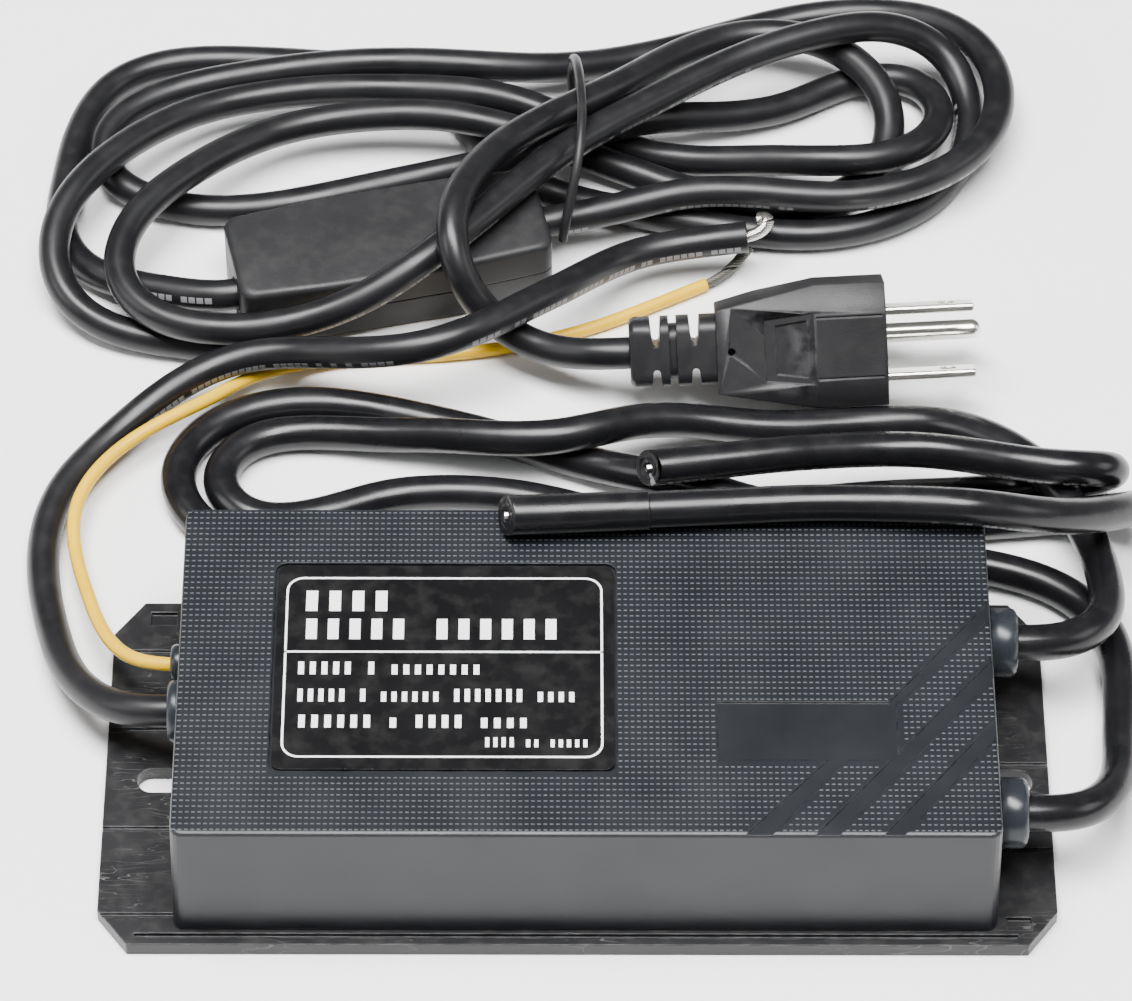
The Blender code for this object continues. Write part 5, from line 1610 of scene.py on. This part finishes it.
@dataclass
class PowerCord:
    """The tied power cord: its two stretches, the switch, the plug and the tie."""

    shop: LeadShop
    radius: float = 3.1
    wires: Bundle = Bundle(12, 0.85, 0.24, 0.2)
    wire_steps: tuple[float, ...] = (-0.4, 0.6, 1.6, 2.8)
    tie_radius: float = 0.95
    tie_sides: int = 18
    tie_end: tuple[Plan, ...] = ((0.7, 0.35), (0.25, 0.55))

    def build(self) -> None:
        """Draw the cord and everything on it."""
        bench = self.shop.bench
        plug_pieces = MainsPlug(bench).build()
        switch_pieces = CordSwitch(bench).build()
        plug_side = smooth_route(POWER_CORD_PLUG_SIDE)
        to_plug = self.shop.draw(
            "plug_side_cord",
            plug_side,
            self.radius,
            CORD_JACKET,
            "cable_jacket",
            ["power_cord_plug_side"],
        )
        supply_side = smooth_route(POWER_CORD_SUPPLY_SIDE)
        to_supply = self.shop.draw(
            "supply_side_cord",
            supply_side,
            self.radius,
            CORD_JACKET,
            "cable_jacket",
            ["power_cord_supply_side"],
        )
        out = (supply_side[-1] - supply_side[-2]).normalized()
        end = supply_side[-1] / MM
        stub = [tuple(end + out * step) for step in self.wire_steps]
        wires = self.shop.strands(
            "supply_side_wires", stub, self.wires, TINNED_WIRE, ["power_cord_conductor"]
        )
        tie = self.build_tie()
        self.declare(to_plug, plug_side, plug_side[-1], "plug", [*plug_pieces, tie])
        self.declare(to_supply, supply_side, supply_side[0], "bare", [*switch_pieces, wires])

    def build_tie(self) -> bpy.types.Object:
        """Bend the tie over the bundle."""
        skin = Skin("tie_over_cord", self.tie_sides)
        points = smooth_route(TIE_ROUTE, 8)
        skin.follow(points, self.tie_radius * MM)
        end = [(self.tie_radius * share * MM, advance * MM) for share, advance in self.tie_end]
        skin.shape_end(end, 0)
        return self.shop.bench.place(
            "tie_over_cord", skin.mesh(), [TIE_BLACK], "moulded_black", ["cord_tie"]
        )

    def declare(
        self, cord: bpy.types.Object, points: list[Vector], leaves: Vector, far_end: str, others: list[Any]
    ) -> None:
        """Take the stretch, its line, where it leaves the switch, its far end and the other pieces; nothing
        is done with them.
        """


@dataclass
class CordSwitch:
    """The in-line switch: two soft-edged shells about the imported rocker, with its screw."""

    bench: Bench
    centre: Place = (-36.8, 123.0, 0.0)
    turn: float = 13.0
    half_length: float = 31.0
    end_half: float = 11.0
    middle_half: float = 12.0
    corner: float = 3.0
    foot: float = 0.3
    seam: float = 7.75
    top: float = 15.2
    gap: float = 0.3
    wall: float = 2.0
    edge: float = 1.3
    window_half: Plan = (8.2, 4.6)
    screw_x: float = 18.0
    recess_radius: float = 3.3
    recess_floor: float = 13.0
    mouth_radius: float = 3.55
    mouth_reach: float = 2.0
    mouth_controls: int = 5
    belly_place: float = 0.45
    belly_drop: float = 0.1
    steps: int = 5
    overcut: float = 1.0
    recess_sides: int = 40
    mouth_sides: int = 28

    def frame(self) -> Matrix:
        """Return the switch's own frame, its +X along the cord."""
        turn = Matrix.Rotation(radians(self.turn), 4, "Z")
        return Matrix.Translation(Vector(self.centre) * MM) @ turn

    def build(self) -> list[Any]:
        """Build the shells, dress the rocker and the screw, and return them all."""
        self.bench.carry_over(["switch_rocker"], MOULDED_BLACK)
        self.bench.carry_over(["switch_screw"], SCREW_STEEL)
        seam_low, seam_high = self.seam - self.gap / 2, self.seam + self.gap / 2
        back = self.shell("switch_back", [(0.0, seam_high), *self.rounding(self.top, -1)])
        front = self.shell("switch_front", [*self.rounding(self.foot, 1), (0.0, seam_low)])
        room = self.room("back_room", seam_high - self.overcut, self.top - self.wall)
        back = carve(back, [room, self.recess(), *self.mouths()], self.frame())
        room = self.room("front_room", self.foot + self.wall, seam_low + self.overcut)
        front = carve(front, [room, self.window(), *self.mouths()], self.frame())
        pieces = [
            self.bench.place(name, mesh, [MOULDED_BLACK], "moulded_black", [name + "_shell"])
            for name, mesh in (("switch_back", back), ("switch_front", front))
        ]
        return [*pieces, self.bench.nodes["switch_rocker"], self.bench.nodes["switch_screw"]]

    def plan(self, inset: float, level: float) -> list[Vector]:
        """Return the switch's outline shrunk by the inset, at a level, in metres."""
        end = self.half_length - inset
        side = self.end_half - inset
        belly = self.middle_half - inset
        quarter = []
        for step in range(self.steps + 1):
            angle = pi / 2 * step / self.steps
            x = end - self.corner * (1 - cos(angle))
            quarter.append((x, side - self.corner * (1 - sin(angle))))
        quarter += [(end * self.belly_place, belly - self.belly_drop), (0.0, belly)]
        rear = quarter + [(-x, y) for x, y in quarter[-2::-1]]
        return [Vector((x, y, level)) * MM for x, y in rear + [(-x, -y) for x, y in rear]]

    def rounding(self, face: float, inward: int) -> list[Plan]:
        """Return (inset, level) pairs that round the edge at a face, in building order."""
        pairs = []
        for step in range(self.steps + 1):
            angle = pi / 2 * step / self.steps
            level = face + inward * self.edge * (1 - sin(angle))
            pairs.append((self.edge * (1 - cos(angle)), level))
        return pairs if inward < 0 else pairs[::-1]

    def shell(self, name: str, levels: Sequence[Plan]) -> bpy.types.Mesh:
        """Return one solid half of the switch in its own frame."""
        return loft(name, [self.plan(inset, level) for inset, level in levels])

    def room(self, name: str, low: float, high: float) -> bpy.types.Mesh:
        """Return the cutter of a shell's hollow between two levels."""
        return loft(name, [self.plan(self.wall, low), self.plan(self.wall, high)])

    def recess(self) -> bpy.types.Mesh:
        """Return the cutter of the screw's recess."""
        skin = Skin("recess", self.recess_sides)
        spot = Matrix.Translation(Vector((self.screw_x, 0, 0)) * MM)
        radius, high = self.recess_radius, self.top + self.recess_radius
        skin.turn([(radius, self.recess_floor), (radius, high)], spot)
        return skin.mesh()

    def window(self) -> bpy.types.Mesh:
        """Return the cutter of the rocker's window."""
        x, y = self.window_half
        square = ((x, y), (-x, y), (-x, -y), (x, -y))
        levels = (-self.overcut, self.foot + self.wall + self.overcut)
        outlines = [[Vector((px, py, level)) * MM for px, py in square] for level in levels]
        return loft("window", outlines)

    def mouths(self) -> list[bpy.types.Mesh]:
        """Return the cutters of the two mouths that the cord enters."""
        count = self.mouth_controls
        return [
            self.mouth(smooth_route(POWER_CORD_PLUG_SIDE[-count:])),
            self.mouth(smooth_route(POWER_CORD_SUPPLY_SIDE[:count])[::-1]),
        ]

    def mouth(self, points: list[Vector]) -> bpy.types.Mesh:
        """Return the cutter along a cord's line that ends inside, in the switch's frame."""
        inside = (points[-1] - points[-2]).normalized()
        skin = Skin("mouth", self.mouth_sides)
        line = [*points, points[-1] + inside * self.mouth_reach * MM]
        skin.follow(line, self.mouth_radius * MM)
        mesh = skin.mesh()
        mesh.transform(self.frame().inverted())
        return mesh


@dataclass
class MainsPlug:
    """The moulded plug with its strain relief, blades and ground pin."""

    bench: Bench
    face: Place = (59.4, 93.2, 16.4)
    turn: Place = (50.0, -2.5, 1.8)
    pin_level: float = -11.9
    pin_radius: float = 1.9
    pin_length: float = 19.0
    pin_root: float = 3.0
    pin_sides: int = 40
    pin_steps: int = 8
    dome: float = 0.9
    merge: float = 0.01
    length: float = 32.6
    shoulder: float = 13.4
    top: float = 4.5
    neck_top: float = 3.2
    hole: Place = (-29.8, 0.0, 0.0)
    hole_radius: float = 0.75
    hole_depth: float = 2.5
    hole_sides: int = 24
    overcut: float = 3.0
    panels: tuple[tuple[Plan, Plan, float], ...] = (
        ((-23.4, -13.9), (6.0, 7.0), 0.28),
        ((-21.3, -15.3), (4.7, 5.5), 0.6),
    )
    line_places: tuple[float, ...] = (-5.9, 5.9)
    line_start: float = -0.8
    line_width: float = 0.35
    line_depth: float = 0.22
    relief_start: float = -49.3
    relief_end: float = -32.5
    relief_level: float = -3.0
    relief_section: Plan = (13.0, 10.5)
    relief_corner: float = 2.6
    least_flat: float = 0.1
    relief_edge: tuple[Plan, ...] = ((0.0, 0.9), (0.25, 0.35), (0.9, 0.0))
    arc_steps: int = 6
    notch_places: Plan = (-44.2, -36.7)
    notch_depths: Plan = (5.0, 3.6)
    notch_mouth: float = 2.2
    notch_bottom: float = 1.4
    groove_width: float = 1.5
    groove_depth: float = 1.3

    def frame(self) -> Matrix:
        """Return the plug's own frame: +X along the blades, +Y from blade to blade."""
        angles = [radians(angle) for angle in self.turn]
        return Matrix.Translation(Vector(self.face) * MM) @ Euler(angles).to_matrix().to_4x4()

    def build(self) -> list[Any]:
        """Dress or build the plug's pieces and return them."""
        self.bench.carry_over(["blade_line", "blade_neutral"], BLADE_NICKEL)
        blades = [self.bench.nodes["blade_line"], self.bench.nodes["blade_neutral"]]
        return [self.build_body(), self.build_relief(), *blades, self.build_pin()]

    def top_level(self, x: float) -> float:
        """Return the height of the plug's upper face at a distance from its front."""
        run = min(x + self.shoulder, 0.0)
        return self.top + run * (self.top - self.neck_top) / (self.length - self.shoulder)

    def slab(self, outline: Sequence[Plan], depth: float) -> bpy.types.Mesh:
        """Return a cutter that sinks an outline to a depth below the sloping upper face."""
        low = [Vector((x, y, self.top_level(x) - depth)) * MM for x, y in outline]
        high = [Vector((x, y, self.top + self.overcut)) * MM for x, y in outline]
        return loft("slab", [low, high])

    def build_body(self) -> bpy.types.Object:
        """Cut the sunk panel, its frame, the facet lines and the small hole into the body."""
        copy = self.bench.nodes["plug_body"].data.copy()
        shape = bmesh.new()
        shape.from_mesh(copy)
        bmesh.ops.remove_doubles(shape, verts=shape.verts, dist=self.merge * MM)
        shape.to_mesh(copy)
        shape.free()
        copy.transform(self.frame().inverted())
        cutters = []
        for (x_low, x_high), (y_left, y_right), depth in self.panels:
            outline = ((x_high, y_right), (x_low, y_left), (x_low, -y_left), (x_high, -y_right))
            cutters.append(self.slab(outline, depth))
        for y in self.line_places:
            low, high = y - self.line_width / 2, y + self.line_width / 2
            start, end = self.line_start, -self.shoulder
            outline = ((start, high), (end, high), (end, low), (start, low))
            cutters.append(self.slab(outline, self.line_depth))
        hole = Skin("hole", self.hole_sides)
        levels = (self.neck_top - self.hole_depth, self.top + self.overcut)
        spot = Matrix.Translation(Vector(self.hole) * MM)
        hole.turn([(self.hole_radius, level) for level in levels], spot)
        cutters.append(hole.mesh())
        mesh = carve(copy, cutters, self.frame())
        return self.bench.place(
            "moulded_plug", mesh, [MOULDED_BLACK], "moulded_black", ["plug_body"]
        )

    def build_relief(self) -> bpy.types.Object:
        """Mould the strain relief: a soft-edged sleeve with notches and a groove round its middle."""
        width, height = self.relief_section
        levels = [(self.relief_start + step, inset) for step, inset in self.relief_edge]
        levels.append((self.relief_end, 0.0))
        sleeve = loft(
            "sleeve", [self.section(x, width - 2 * inset, height - 2 * inset) for x, inset in levels]
        )
        cutters = []
        for x in self.notch_places:
            cutters.append(self.notch(x, 1, self.notch_depths[0]))
            cutters.append(self.notch(x, -1, self.notch_depths[1]))
        middle = (self.relief_start + self.relief_end) / 2
        low, high = middle - self.groove_width / 2, middle + self.groove_width / 2
        wide = 2 * self.relief_corner
        rim = loft("rim", [self.section(x, width + wide, height + wide) for x in (low, high)])
        deep = 2 * self.groove_depth
        ends = (low - self.groove_depth, high + self.groove_depth)
        core = loft("core", [self.section(x, width - deep, height - deep) for x in ends])
        cutters.append(carve(rim, [core]))
        mesh = carve(sleeve, cutters, self.frame())
        return self.bench.place(
            "strain_relief", mesh, [RELIEF_BLACK], "moulded_black", ["plug_strain_relief"]
        )

    def section(self, x: float, width: float, height: float) -> list[Vector]:
        """Return the strain relief's round-cornered section at a place along the plug."""
        high = (width / 2, height / 2)
        low = (-width / 2, -height / 2)
        radius = min(self.relief_corner, *(half - self.least_flat for half in high))
        outline = round_rectangle(low, high, radius, self.arc_steps)
        return [Vector((x, y, self.relief_level + z)) * MM for y, z in outline]

    def notch(self, x: float, side: int, depth: float) -> bpy.types.Mesh:
        """Return the cutter of one notch, which opens to a side and has a round bottom."""
        mouth, bottom = self.notch_mouth / 2, self.notch_bottom / 2
        edge = self.relief_section[0] / 2
        outline = [(x - mouth, edge + 1.0), (x - bottom, edge - depth + bottom)]
        for step in range(1, self.arc_steps):
            angle = pi + pi * step / self.arc_steps
            outline.append((x + bottom * cos(angle), edge - depth + bottom + bottom * sin(angle)))
        outline += [(x + bottom, edge - depth + bottom), (x + mouth, edge + 1.0)]
        if side < 0:
            outline = [(px, -py) for px, py in outline[::-1]]
        height = self.relief_section[1]
        levels = (self.relief_level - height, self.relief_level + height)
        outlines = [[Vector((px, py, level)) * MM for px, py in outline] for level in levels]
        return loft("notch", outlines)

    def build_pin(self) -> bpy.types.Object:
        """Turn the ground pin with its domed end."""
        seat = Matrix.Translation(Vector((0, 0, self.pin_level)) * MM)
        axis = seat @ Matrix.Rotation(pi / 2, 4, "Y")
        radius = self.pin_radius
        dome = radius * self.dome
        shoulder = self.pin_length - dome
        profile = [(radius / 2, -self.pin_root), (radius, -self.pin_root), (radius, shoulder)]
        for step in range(1, self.pin_steps):
            angle = pi / 2 * step / self.pin_steps
            profile.append((radius * cos(angle), shoulder + dome * sin(angle)))
        skin = Skin("turned_ground_pin", self.pin_sides)
        skin.turn(profile, self.frame() @ axis)
        return self.bench.place(
            "turned_ground_pin", skin.mesh(), [BLADE_NICKEL], "blade_nickel", ["ground_pin"]
        )


def main() -> None:
    """Build the scene in order."""
    logging.basicConfig(level=logging.INFO, format="%(name)s: %(message)s")
    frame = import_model()
    bench = Bench(frame)
    Studio().build()
    shop = LeadShop(bench)
    OutputCables(shop).build()
    InputLeads(shop).build()
    PowerCord(shop).build()
    Enclosure(bench).build()
    InnerParts(bench).build()


if __name__ == "__main__":
    main()
